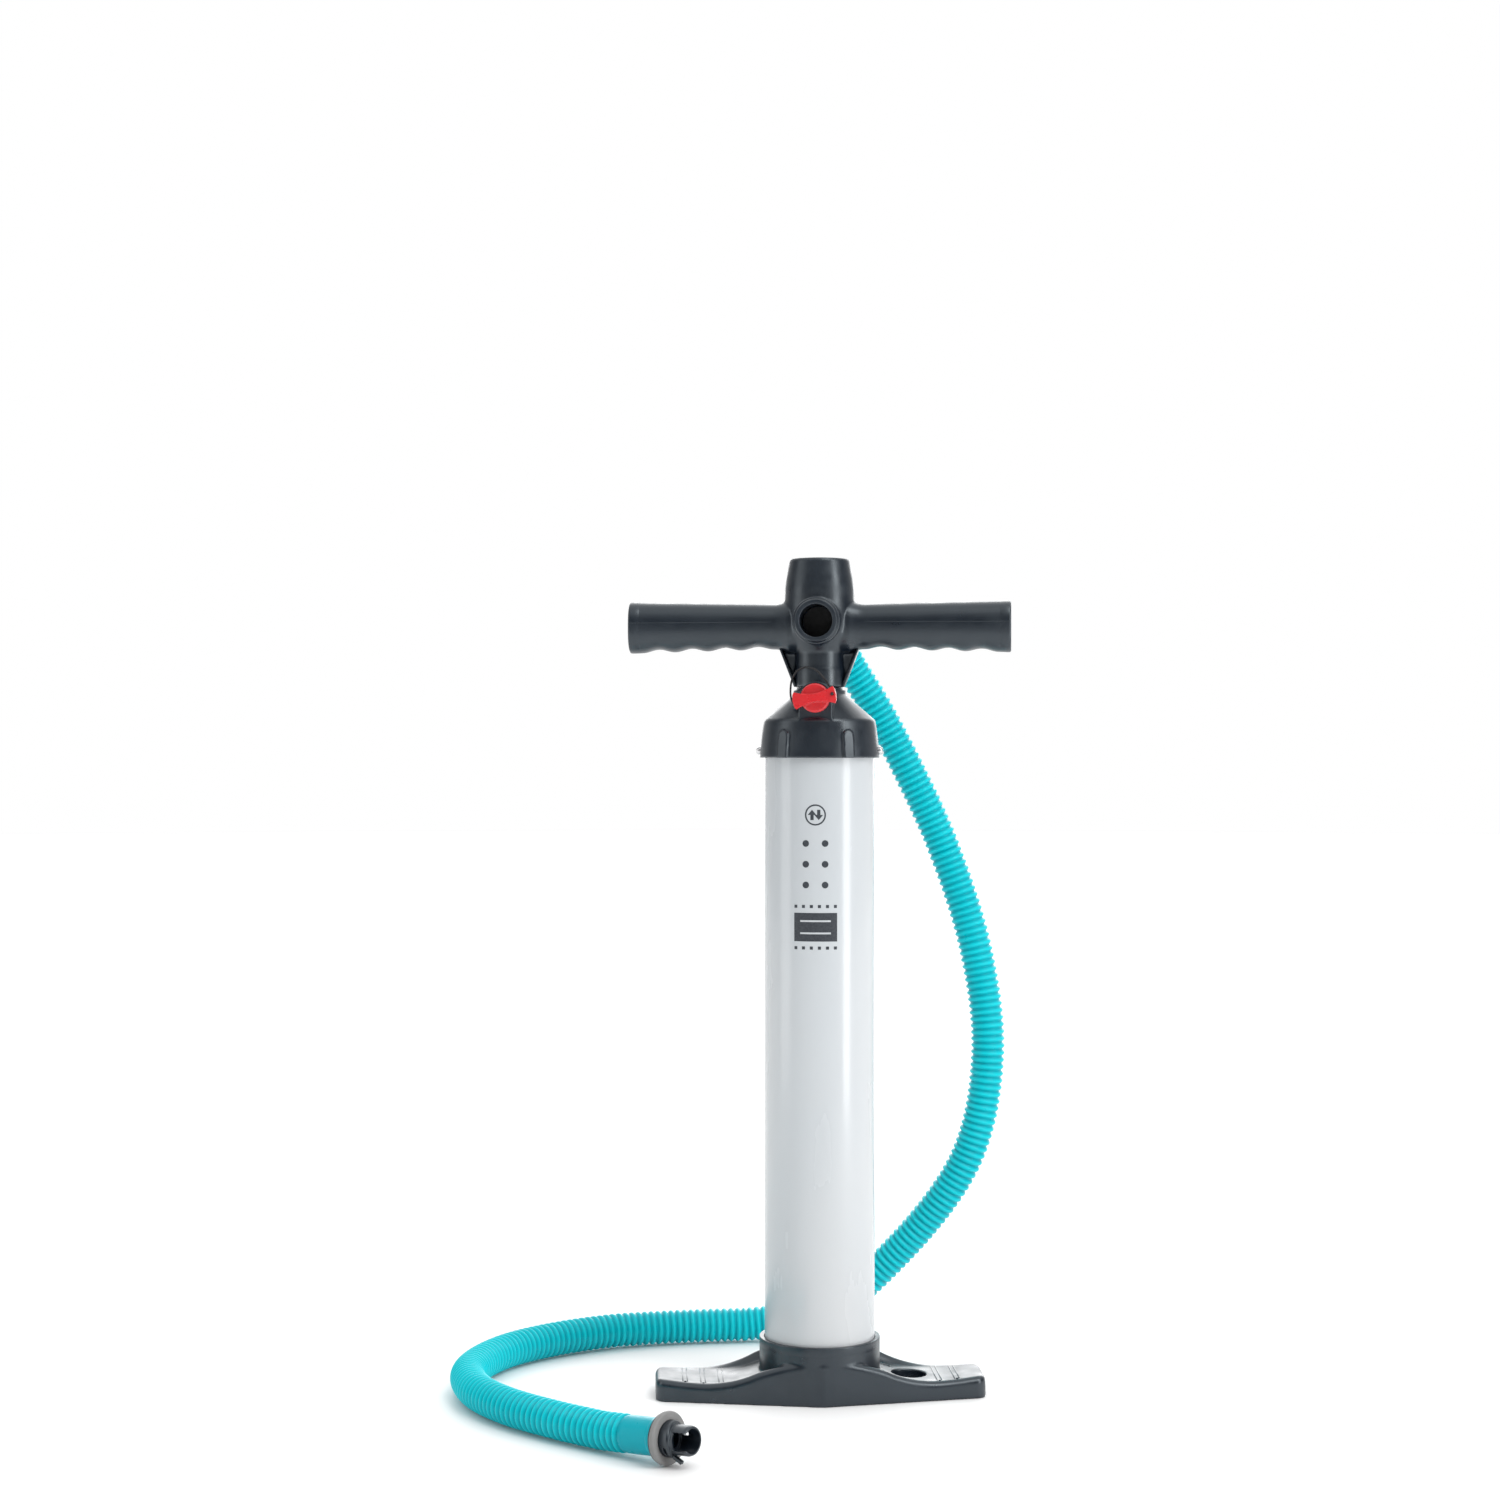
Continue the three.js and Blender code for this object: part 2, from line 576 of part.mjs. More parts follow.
// ---- pressure gauge ----
function gaugeBody() {
  const r = GAUGE_RECESS_R - 0.4;
  const [low, floor, rim] = [GAUGE_FLOOR_Z + GAP, GAUGE_DIAL_Z, GAUGE_DIAL_Z + 5];
  const seat = GAUGE_DIAL_R + 0.4;
  return turned(
    [
      [0, low], [r, low], [r, rim], [seat, rim], [seat, floor], [1, floor], [1, floor + 2.6],
      [0, floor + 2.6],
    ],
    MID,
  );
}
function gaugeDial() {
  return ring(1.6, GAUGE_DIAL_R, GAUGE_DIAL_Z + GAP, GAUGE_DIAL_Z + 1.1, MID);
}
function gaugeNeedle() {
  const z = GAUGE_DIAL_Z + 1.6;
  const shape = outline([[-1.1, -5], [1.1, -5], [0.35, 15], [-0.35, 15]]);
  const turn = turnedAboutZ(GAUGE_STOP_ANGLE - 90);
  const pointer = solid(extruded(shape, 0.8, 1).translate(0, 0, z).applyMatrix4(turn));
  return pointer.add(cylinder(2.6, z - 0.1, z + 1.4, SMALL)).subtract(cylinder(1.3, z - 8, z + 12, 12));
}
function gaugeLens() {
  return cylinder(GAUGE_RECESS_R - 0.6, 651.3, 652.7, MID);
}
function gaugeBezel() {
  const r = GAUGE_RECESS_R - GAP;
  return turned([[17.3, 653], [r, 653], [r, 654.6], [r - 0.4, HUB_TOP_Z], [17.8, HUB_TOP_Z]], MID);
}

// ---- hose and its fittings ----
function hoseNut() {
  const y = PORT_FACE_Y;
  return turned(
    [
      [8.5, y - 12], [12.2, y - 12], [12.2, y - 9], [11, y - 9], [11, y - 5], [12.2, y - 5], [12.2, y + 0.4],
      [17.5, y + 0.4], [17.5, y + 12], [15.2, y + 14], [15.2, y + 18], [8.5, y + 18],
    ],
    MID,
    alongY(0, PORT_Z),
  );
}
function portRing() {
  return ring(11.3, PORT_BORE_R - 0.2, PORT_FACE_Y - 8.7, PORT_FACE_Y - 5.3, SMALL, alongY(0, PORT_Z));
}
function upperCuff() {
  const y = PORT_FACE_Y;
  return turned(
    [
      [CUFF_BORE_R, y + 18.3], [CUFF_R, y + 18.3], [CUFF_R, y + 36],
      [CUFF_SPIGOT_R, y + 36], [CUFF_SPIGOT_R, y + 48], [CUFF_BORE_R, y + 48],
    ],
    SMALL,
    alongY(0, PORT_Z),
  );
}
// The hose leaves the rear port, drops behind the barrel to the floor and swings round to the nozzle.
function hoseLine() {
  const top = new THREE.Vector3(0, HOSE_TOP_Y, PORT_Z);
  const bend = top.clone().add(new THREE.Vector3(0, 28, 0));
  const floor = HOSE_R + 1.3;
  const arch = new THREE.CatmullRomCurve3(
    [
      bend,
      new THREE.Vector3(2, 125, 600),
      new THREE.Vector3(13, 144, 580),
      new THREE.Vector3(37, 150, 540),
      new THREE.Vector3(64, 146, 488),
      new THREE.Vector3(92, 145, 426),
      new THREE.Vector3(120, 146, 338),
      new THREE.Vector3(130, 148, 250),
      new THREE.Vector3(112, 155, 162),
      new THREE.Vector3(48, 169, 74),
      new THREE.Vector3(-13, 176, 24),
      new THREE.Vector3(-73, 171, floor),
      new THREE.Vector3(-186, 133, floor),
      new THREE.Vector3(-255, 61, floor),
      new THREE.Vector3(-275, -19, floor),
      new THREE.Vector3(-260, -75, floor),
      new THREE.Vector3(-228, -120, floor),
      new THREE.Vector3(-186, -156, floor),
      alongNozzleAxis(-62),
    ],
    false,
    "centripetal",
  );
  const line = new THREE.CurvePath();
  line.add(new THREE.LineCurve3(top, bend));
  line.add(arch);
  line.add(new THREE.LineCurve3(alongNozzleAxis(-62), alongNozzleAxis(-38 - GAP)));
  return line;
}
function hoseTube() {
  return tubeAlong(hoseLine(), HOSE_R, HOSE_BORE_R, 56, 10);
}
function lowerCuff() {
  return turned(
    [
      [CUFF_BORE_R, -50], [CUFF_SPIGOT_R - 0.2, -50], [CUFF_SPIGOT_R - 0.2, -38], [CUFF_R, -38],
      [CUFF_R, -4.8], [CUFF_BORE_R, -4.8],
    ],
    SMALL,
    alongNozzle(),
  );
}
function nozzleFlange() {
  return ring(12.9, WASHER_R - 1.5, -4.5, -3.3, SMALL, alongNozzle());
}
function nozzleGasket() {
  const profile = [[12.9, -3], [WASHER_R, -3], [WASHER_R, 0], [WASHER_R - 1, 1], [12.9, 1]];
  return turned(profile, MID, alongNozzle());
}
function nozzleCore() {
  const at = alongNozzle();
  let body = turned(
    [
      [8.5, -4.5], [12.6, -4.5], [12.6, 1.3], [NOZZLE_R, 1.3], [NOZZLE_R, NOZZLE_LENGTH - 3],
      [NOZZLE_R - 3, NOZZLE_LENGTH], [8.5, NOZZLE_LENGTH],
    ],
    SMALL,
    at,
  );
  const lug = solid(new THREE.BoxGeometry(4, 5, 6).translate(14, 15, 0).applyMatrix4(at));
  const slot = solid(new THREE.BoxGeometry(40, 12, 7).translate(0, NOZZLE_LENGTH - 2, 0).applyMatrix4(at));
  const eye = new THREE.Matrix4().multiplyMatrices(at, new THREE.Matrix4().makeRotationX(Math.PI / 2));
  body = body.add(lug).subtract(cylinder(4, -20, 20, 16, eye.multiply(alongY(0, -8))));
  return body.subtract(slot.subtract(cylinder(10.4, -10, 40, SMALL, at)));
}

// ---- assembly ----
function piece(group, name, made, material) {
  const mesh = made.getMesh();
  const n = mesh.numProp;
  const positions = new Float32Array(mesh.numVert * 3);
  for (let i = 0; i < mesh.numVert; i++)
    positions.set(mesh.vertProperties.subarray(i * n, i * n + 3), i * 3);
  const g = new THREE.BufferGeometry();
  g.setAttribute("position", new THREE.BufferAttribute(positions, 3));
  g.setIndex(new THREE.BufferAttribute(new Uint32Array(mesh.triVerts), 1));
  g.computeVertexNormals();
  const m = new THREE.Mesh(g, material());
  m.name = name;
  group.add(m);
  return m;
}

function pump() {
  const g = new THREE.Group();
  g.name = "double_action_hand_pump";
  piece(g, "base_foot", footBody(), darkPlastic).rotation.z = radians(FOOT_TURN);
  piece(g, "barrel_tube", barrelTube(), whiteEnamel);
  piece(g, "bottom_plug", bottomPlug(), darkPlastic);
  piece(g, "bottom_oring", bottomRing(), blackRubber);
  piece(g, "top_cap", capBody(), darkPlastic);
  piece(g, "cap_gasket", capGasket(), blackRubber);
  piece(g, "cap_screw_left", capScrew(-1), steel);
  piece(g, "cap_screw_right", capScrew(1), steel);
  piece(g, "gland_nut", glandNut(), darkPlastic);
  piece(g, "rod_bush", rodBush(), darkPlastic);
  piece(g, "rod_seal", rodSeal(), blackRubber);
  piece(g, "plug_knob", plugKnob(), redPlastic);
  piece(g, "plug_oring", plugRing(), blackRubber);
  piece(g, "plug_cord", plugCord(), blackRubber);
  piece(g, "piston_body", pistonBody(), darkPlastic);
  piece(g, "piston_seal", pistonSeal(), blackRubber);
  piece(g, "valve_flap", valveFlap(), blackRubber);
  piece(g, "rod_outer_tube", rodOuterTube(), aluminium);
  piece(g, "rod_inner_tube", rodInnerTube(), aluminium);
  piece(g, "handle_body", handleBody(), darkPlastic);
  piece(g, "handle_end_cap_left", endCap(-1), darkPlastic);
  piece(g, "handle_end_cap_right", endCap(1), darkPlastic);
  piece(g, "gauge_body", gaugeBody(), darkPlastic);
  piece(g, "gauge_dial", gaugeDial(), paleDial);
  piece(g, "gauge_needle", gaugeNeedle(), redPlastic);
  piece(g, "gauge_lens", gaugeLens(), clearLens);
  piece(g, "gauge_bezel", gaugeBezel(), darkPlastic);
  piece(g, "hose_nut", hoseNut(), darkPlastic);
  piece(g, "port_oring", portRing(), blackRubber);
  piece(g, "hose_cuff_upper", upperCuff(), tealRubber);
  piece(g, "hose", hoseTube(), tealRubber);
  piece(g, "hose_cuff_lower", lowerCuff(), tealRubber);
  piece(g, "nozzle_flange", nozzleFlange(), darkPlastic);
  piece(g, "nozzle_gasket", nozzleGasket(), greyRubber);
  piece(g, "nozzle_core", nozzleCore(), darkPlastic);
  return g;
}

export default pump();
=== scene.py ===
"""Looks of the double action hand pump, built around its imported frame. Lengths are in millimetres."""

import json
from math import asin, copysign, cos, exp, pi, radians, sin, sqrt

import bmesh
import bpy
import numpy as np
from mathutils import Matrix, Vector

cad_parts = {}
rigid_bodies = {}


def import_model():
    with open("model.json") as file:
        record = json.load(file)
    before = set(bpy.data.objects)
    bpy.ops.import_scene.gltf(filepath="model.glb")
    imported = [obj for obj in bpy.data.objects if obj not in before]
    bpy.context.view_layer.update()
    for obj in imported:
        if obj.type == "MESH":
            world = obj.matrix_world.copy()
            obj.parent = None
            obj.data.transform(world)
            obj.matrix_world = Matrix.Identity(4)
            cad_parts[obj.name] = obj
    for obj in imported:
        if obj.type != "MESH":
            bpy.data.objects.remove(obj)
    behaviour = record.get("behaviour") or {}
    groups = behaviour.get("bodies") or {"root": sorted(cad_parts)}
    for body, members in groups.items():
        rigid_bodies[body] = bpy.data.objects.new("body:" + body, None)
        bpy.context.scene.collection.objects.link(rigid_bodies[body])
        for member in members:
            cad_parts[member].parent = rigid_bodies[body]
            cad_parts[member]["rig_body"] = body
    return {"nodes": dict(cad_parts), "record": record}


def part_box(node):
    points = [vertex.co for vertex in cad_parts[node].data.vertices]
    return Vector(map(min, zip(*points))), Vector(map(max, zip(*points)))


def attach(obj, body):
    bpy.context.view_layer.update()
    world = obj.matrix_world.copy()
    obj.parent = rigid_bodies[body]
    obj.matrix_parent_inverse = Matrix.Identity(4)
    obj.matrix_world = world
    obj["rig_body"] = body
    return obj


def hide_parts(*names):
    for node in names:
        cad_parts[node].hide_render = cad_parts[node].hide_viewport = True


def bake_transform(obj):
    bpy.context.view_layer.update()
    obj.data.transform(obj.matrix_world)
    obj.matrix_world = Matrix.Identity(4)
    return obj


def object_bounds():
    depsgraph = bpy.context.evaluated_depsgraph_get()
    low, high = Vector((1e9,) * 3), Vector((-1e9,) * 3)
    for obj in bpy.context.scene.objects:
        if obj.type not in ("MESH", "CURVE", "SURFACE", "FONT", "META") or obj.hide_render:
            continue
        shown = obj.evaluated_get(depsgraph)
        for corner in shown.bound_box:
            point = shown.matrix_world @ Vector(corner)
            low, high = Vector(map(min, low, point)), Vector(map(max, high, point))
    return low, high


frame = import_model()
cad_bounds = [list(corner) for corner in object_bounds()]

MM = 0.001
SIDES = ((-1, "left"), (1, "right"))
FACES = ((-1, "front"), (1, "back"))


def box_mm(node):
    low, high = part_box(node)
    return low * 1000, high * 1000


# ---- sizes read from the frame ----
barrel_low, barrel_high = box_mm("barrel_tube")
BARREL_R = (barrel_high.x - barrel_low.x) / 2
BARREL_BOTTOM_Z, BARREL_TOP_Z = barrel_low.z, barrel_high.z
cap_low, cap_high = box_mm("top_cap")
CAP_BOTTOM_Z = cap_low.z
CAP_R = (cap_high.x - cap_low.x) / 2
COLLAR_TOP_Z = box_mm("base_foot")[1].z
handle_low, handle_high = box_mm("handle_body")
HANDLE_HALF = handle_high.x
HUB_TOP_Z = handle_high.z
NECK_BOTTOM_Z = handle_low.z
PORT_FACE_Y = handle_high.y
nut_low, nut_high = box_mm("hose_nut")
PORT_Z = (nut_low.z + nut_high.z) / 2
UPPER_CUFF_END_Y = box_mm("hose_cuff_upper")[1].y
ring_low, ring_high = box_mm("plug_oring")
PLUG_Z = (ring_low.z + ring_high.z) / 2
washer_low, washer_high = box_mm("nozzle_gasket")
WASHER_CENTRE = (washer_low + washer_high) / 2
gland_low, gland_high = box_mm("gland_nut")
rod_low, rod_high = box_mm("rod_outer_tube")

# ---- sizes of the foot ----
FOOT_TURN = radians(8.4)
FOOT_HALF_LENGTH = 129
FOOT_HALF_DEPTH = 48
FOOT_TIP_HALF_DEPTH = 25
FOOT_EDGE_R = 5
FOOT_CORNER_R = 9
FOOT_WALL = 3.2
FOOT_CREST = ((0, 35), (12, 34.2), (30, 30.2), (47.6, 25), (58, 20.6), (70, 16.9), (80, 15.1), (90, 14.3),
              (105, 14.8), (121.5, 16.3), (130, 17))
DISH_DEPTH, DISH_START_X, DISH_DEEPEST_X, DISH_FADE = 6.5, 14, 44, 27
COLLAR_R = 47.25
FOOT_HOLE_X, FOOT_HOLE_R = 70.3, 13.8
TREAD_X, TREAD_PITCH, TREAD_GAP = 78, 14, 1.75

# ---- sizes of the cap and its plug ----
CAP_SKIRT_TOP_Z, CAP_CONE_Z, CAP_CONE_R = 524, 529, 43
CAP_NECK_Z, CAP_NECK_R = 548.5, 20.6
PAD_ANGLE, PAD_WIDTH, PAD_TOP_Z, PAD_PROUD = radians(32.5), 9, 520.6, 2.5
SCREW_Z, SCREW_SLOT_X = 504.5, 49
BOSS_R = 13
PLUG_FACE_Y = -42
PLUG_WING_HALF, PLUG_WING_TILT = 15.2, radians(-9)
CORD_R = 0.75

# ---- sizes of the handle ----
GRIP_Z = 602
GRIP_ROOT = (17, 15.5)
GRIP_TIP = (20.2, 17)
GRIP_POWER = 0.82
GRIP_END_R = 1.6
SCALLOP_X, SCALLOP_PITCH, SCALLOP_DEPTH = 48.7, 26.2, 2.4
FLARE, FLARE_START, FLARE_END = 3.5, 24, 36
HUB_R, HUB_TAPER_Z, HUB_TOP_R = 27.5, 632, 23.7
NECK_R = 19.25
PORT_BORE_R = 12.75
FRONT_BORE_END_Y, BACK_BORE_END_Y = -10, 9
GUSSET_TOP_Z = 590
SEAM_RISE, SEAM_R = 3.2, 0.28
GAUGE_R = 21
GAUGE_START, GAUGE_SWEEP = radians(-135), radians(-270)
DIAL_TOP_Z = 647.12

# ---- sizes of the hose and its nozzle ----
CORRUGATION_PITCH, RINGS_PER_CORRUGATION = 5.7, 12
HOSE_CREST_R, HOSE_VALLEY_R = 14.0, 12.0
HOSE_SPLIT_Z = 420
HOSE_FLOOR_Z = 14.5
NOZZLE_DIRECTION = Vector((0.84, -0.535, 0.072)).normalized()

PANEL_HEIGHT = 1.7
UP = Matrix.Identity(4)


# ---- mesh building ----
def link(obj):
    bpy.context.scene.collection.objects.link(obj)
    return obj


def mesh_piece(name, verts, faces):
    """A mesh object in metres from points in millimetres."""
    mesh = bpy.data.meshes.new(name)
    mesh.from_pydata([tuple(Vector(v) * MM) for v in verts], [], faces)
    bm = bmesh.new()
    bm.from_mesh(mesh)
    bmesh.ops.remove_doubles(bm, verts=bm.verts, dist=1e-7)
    bmesh.ops.recalc_face_normals(bm, faces=bm.faces)
    bm.to_mesh(mesh)
    bm.free()
    return link(bpy.data.objects.new(name, mesh))


def joined(solids):
    """Several solids' points and faces as one list of each."""
    verts, faces = [], []
    for points, polygons in solids:
        offset = len(verts)
        verts += points
        faces += [tuple(i + offset for i in polygon) for polygon in polygons]
    return verts, faces


def skin(rings, around=False):
    """Points and faces of a surface through rings of equal count, its ends capped or joined round."""
    sides, count = len(rings[0]), len(rings)
    faces = []
    for i in range(count if around else count - 1):
        a, b = i * sides, (i + 1) % count * sides
        for k in range(sides):
            n = (k + 1) % sides
            faces.append((a + k, a + n, b + n, b + k))
    if not around:
        faces.append(tuple(reversed(range(sides))))
        faces.append(tuple(range((count - 1) * sides, count * sides)))
    return [p for ring in rings for p in ring], faces


def rounded(points, radius, closed=True, steps=4):
    """A profile with its corners turned into short curves."""
    count = len(points)
    pts = [Vector(p) for p in points]
    out = []
    for i, p in enumerate(pts):
        if radius <= 0 or (not closed and i in (0, count - 1)):
            out.append(tuple(p))
            continue
        before, after = pts[i - 1] - p, pts[(i + 1) % count] - p
        r = min(radius, before.length * 0.45, after.length * 0.45)
        a, b = p + before.normalized() * r, p + after.normalized() * r
        for s in range(steps + 1):
            t = s / steps
            out.append(tuple(a * (1 - t) ** 2 + p * 2 * t * (1 - t) + b * t * t))
    return out


def along_y(x, z):
    """Takes heights along +Z to heights along +Y, through (x, 0, z)."""
    return Matrix.Translation((x, 0, z)) @ Matrix.Rotation(-pi / 2, 4, "X")


def along_x(z, side):
    """Takes heights along +Z outwards along X on one side, through (0, 0, z)."""
    return Matrix.Translation((0, 0, z)) @ Matrix.Rotation(side * pi / 2, 4, "Y")


def along_nozzle():
    """Takes +Z to the nozzle's axis and +Y to upwards, through the front face of its washer."""
    forward = NOZZLE_DIRECTION
    side = Vector((0, 0, 1)).cross(forward).normalized()
    turn = Matrix((side, forward.cross(side), forward)).transposed().to_4x4()
    return Matrix.Translation(WASHER_CENTRE + forward * 2) @ turn


def turned(profile, facets=96, place=UP, wave=None):
    """A solid of revolution; the profile closes itself unless it starts and ends on the axis."""
    on_axis = profile[0][0] < 1e-6 and profile[-1][0] < 1e-6
    rings = []
    for r, h in profile:
        ring = []
        for k in range(facets):
            t = 2 * pi * k / facets
            rr = r + wave(t, r, h) if wave and r > 1e-6 else r
            ring.append(place @ Vector((rr * cos(t), rr * sin(t), h)))
        rings.append(ring)
    verts, faces = skin(rings, around=not on_axis)
    return verts, faces[:-2] if on_axis else faces


def drum(radius, low, high, facets=64, place=UP):
    return turned([(0, low), (radius, low), (radius, high), (0, high)], facets, place)


def prism_y(outline, y_from, y_to, place=UP):
    """An outline in X and Z given thickness along Y."""
    return skin([[place @ Vector((x, y, z)) for x, z in outline] for y in (y_from, y_to)])


def prism_z(outline, z_from, z_to, place=UP):
    """An outline in X and Y given thickness along Z."""
    return skin([[place @ Vector((x, y, z)) for x, y in outline] for z in (z_from, z_to)])


def arch(half, bottom, centre, steps=16):
    """An outline with a flat bottom, straight sides and a half round top."""
    angles = [pi * k / steps for k in range(steps + 1)]
    arc = [(half * cos(t), centre + half * sin(t)) for t in angles]
    return [(half, bottom)] + arc + [(-half, bottom)]


def settle(obj):
    """Bakes the object's modifiers into its mesh."""
    graph = bpy.context.evaluated_depsgraph_get()
    mesh = bpy.data.meshes.new_from_object(obj.evaluated_get(graph))
    obj.modifiers.clear()
    old = obj.data
    obj.data = mesh
    bpy.data.meshes.remove(old)
    return obj


def smooth_shade(obj, angle=None):
    for polygon in obj.data.polygons:
        polygon.use_smooth = True
    if angle:
        obj.data.set_sharp_from_angle(angle=radians(angle))
    return obj


def modify(obj, kind, **settings):
    step = obj.modifiers.new(kind, kind)
    for key, value in settings.items():
        setattr(step, key, value)


def moulded(name, adds, cuts, voxel, passes):
    """One moulding: solids joined and cut, then remeshed and relaxed so that its edges are rounded."""
    base = mesh_piece(name, *adds[0])
    helpers = []
    for kind, group in (("UNION", adds[1:]), ("DIFFERENCE", cuts)):
        for data in group:
            helpers.append(mesh_piece(name + "_helper", *data))
            modify(base, "BOOLEAN", operation=kind, solver="EXACT", object=helpers[-1])
    settle(base)
    for helper in helpers:
        bpy.data.objects.remove(helper)
    modify(base, "REMESH", mode="VOXEL", voxel_size=voxel * MM)
    modify(base, "SMOOTH", factor=0.5, iterations=passes)
    return smooth_shade(settle(base))


def lathe(name, profile, radius=0.4, facets=96, place=UP, wave=None, angle=40):
    """A turned ring or disc with rounded corners, as a piece."""
    on_axis = profile[0][0] < 1e-6 and profile[-1][0] < 1e-6
    shape = rounded(profile, radius, closed=not on_axis)
    return smooth_shade(mesh_piece(name, *turned(shape, facets, place, wave)), angle)


def bevelled(name, data, width):
    """A piece with narrow bevels along its edges."""
    piece = mesh_piece(name, *data)
    modify(piece, "BEVEL", width=width * MM, segments=3, limit_method="ANGLE")
    return smooth_shade(settle(piece), 40)


# ---- materials ----
MATERIALS = {}


def material(name, color, rough, metal=0.0):
    mat = MATERIALS[name] = bpy.data.materials.new(name)
    mat.use_nodes = True
    shader = mat.node_tree.nodes["Principled BSDF"]
    shader.inputs["Base Color"].default_value = (*color, 1)
    shader.inputs["Roughness"].default_value = rough
    shader.inputs["Metallic"].default_value = metal
    return mat.node_tree, shader


def new_node(tree, kind, inputs=(), **settings):
    """The outputs of a new shader node, whose inputs are values or the outputs of other nodes."""
    made = tree.nodes.new("ShaderNode" + kind)
    for key, value in settings.items():
        setattr(made, key, value)
    for key, value in dict(inputs).items():
        if isinstance(value, bpy.types.NodeSocket):
            tree.links.new(value, made.inputs[key])
        else:
            made.inputs[key].default_value = value
    return made.outputs


def noise(tree, scale, detail, stretch=(1, 1, 1)):
    where = new_node(tree, "TexCoord")["Object"]
    mapping = new_node(tree, "Mapping", {"Vector": where, "Scale": stretch})["Vector"]
    return new_node(tree, "TexNoise", {"Vector": mapping, "Scale": scale, "Detail": detail})["Fac"]


def spread(tree, value, low, high, to_low=0, to_high=1, **settings):
    """Maps the range from low to high onto another one."""
    limits = {"Value": value, "From Min": low, "From Max": high, "To Min": to_low, "To Max": to_high}
    return new_node(tree, "MapRange", limits, **settings)["Result"]


def mix_color(tree, fac, a, b):
    a, b = ((*color, 1) if isinstance(color, tuple) else color for color in (a, b))
    return new_node(tree, "Mix", {"Factor": fac, 6: a, 7: b}, data_type="RGBA")[2]


def color_from(tree, shader, fac, a, b):
    tree.links.new(mix_color(tree, fac, a, b), shader.inputs["Base Color"])


def rough_from(tree, shader, pattern, low, high, pattern_low=0.3):
    """Lets a noise move the roughness between two values."""
    tree.links.new(spread(tree, pattern, pattern_low, 0.7, low, high), shader.inputs["Roughness"])


def add_bump(tree, shader, height, strength, distance, previous=None):
    inputs = {"Height": height, "Strength": strength, "Distance": distance}
    if previous:
        inputs["Normal"] = previous
    normal = new_node(tree, "Bump", inputs)["Normal"]
    tree.links.new(normal, shader.inputs["Normal"])
    return normal


def moulded_plastic(name, dark, light, rough, grain, shine):
    """Moulded plastic: fine spark-eroded grain, slow tone drift and faint rubbed scuffs."""
    tree, shader = material(name, dark, rough)
    tone = mix_color(tree, spread(tree, noise(tree, 18, 3), 0.3, 0.7), dark, light)
    scuffs = spread(tree, noise(tree, 260, 2, (1, 1, 9)), 0.7, 0.78, 0, 0.13)
    color_from(tree, shader, scuffs, tone, tuple(min(1, c * 1.9 + 0.012) for c in light))
    rough_from(tree, shader, noise(tree, 60, 5), rough - 0.07, rough + 0.09)
    shader.inputs["Specular Tint"].default_value = (0.86, 0.95, 1.0, 1)
    shader.inputs["Specular IOR Level"].default_value = shine
    fine = add_bump(tree, shader, noise(tree, 2600, 2), grain, 0.00005)
    add_bump(tree, shader, noise(tree, 320, 3), grain * 0.6, 0.00009, fine)


def gloss_enamel(name):
    """White baked enamel on a drawn tube: faint orange peel, a clear top coat and a slow cool drift."""
    tree, shader = material(name, (0.56, 0.585, 0.6), 0.22)
    drift = spread(tree, noise(tree, 9, 2, (1, 1, 0.35)), 0.35, 0.65)
    color_from(tree, shader, drift, (0.54, 0.572, 0.596), (0.572, 0.59, 0.604))
    shader.inputs["Coat Weight"].default_value = 0.3
    shader.inputs["Coat Roughness"].default_value = 0.11
    rough_from(tree, shader, noise(tree, 40, 4, (1, 1, 0.2)), 0.18, 0.3)
    add_bump(tree, shader, noise(tree, 420, 2), 0.02, 0.00005)


def hose_plastic(name):
    """Soft blown plastic of the hose, with painted shade darkening the valleys and a painted highlight
    paling the crests.
    """
    tree, shader = material(name, (0.01, 0.4, 0.46), 0.34)
    crest = new_node(tree, "Attribute", attribute_name="crest")["Fac"]
    drift = spread(tree, noise(tree, 14, 3), 0.3, 0.7)
    # The valleys' colour, darkened as painted shade, and the crests' colour, lightened as a painted
    # highlight.
    deep = mix_color(tree, drift, (0.0, 0.34, 0.42), (0.0, 0.38, 0.46))
    crest_highlight_tone = mix_color(tree, drift, (0.001, 0.55, 0.62), (0.004, 0.6, 0.67))
    color_from(tree, shader, crest, deep, crest_highlight_tone)
    shader.inputs["Specular IOR Level"].default_value = 0.17
    rough_from(tree, shader, noise(tree, 130, 4), 0.27, 0.42)
    add_bump(tree, shader, noise(tree, 900, 3), 0.12, 0.00008)


def soft_rubber(name, color, rough):
    """Matt rubber or a matt print, a little lighter in patches."""
    tree, shader = material(name, color, rough)
    drift = spread(tree, noise(tree, 45, 4), 0.3, 0.7)
    color_from(tree, shader, drift, color, tuple(min(1, c * 1.3 + 0.004) for c in color))
    rough_from(tree, shader, noise(tree, 300, 3), rough - 0.08, rough + 0.08)
    add_bump(tree, shader, noise(tree, 1500, 3), 0.2, 0.00005)


def lined_metal(name, color, rough, stretch):
    """Metal with fine lines along or round it, from drawing or turning."""
    tree, shader = material(name, color, rough, metal=1.0)
    lines = noise(tree, 90, 5, stretch)
    rough_from(tree, shader, lines, rough - 0.05, rough + 0.08)
    add_bump(tree, shader, lines, 0.04, 0.00002)


def ink(name):
    """Screen printed ink, a little uneven in density."""
    tree, shader = material(name, (0.03, 0.036, 0.045), 0.38)
    drift = spread(tree, noise(tree, 700, 3), 0.35, 0.65)
    color_from(tree, shader, drift, (0.026, 0.031, 0.04), (0.042, 0.05, 0.06))
    add_bump(tree, shader, noise(tree, 1800, 2), 0.1, 0.00002)


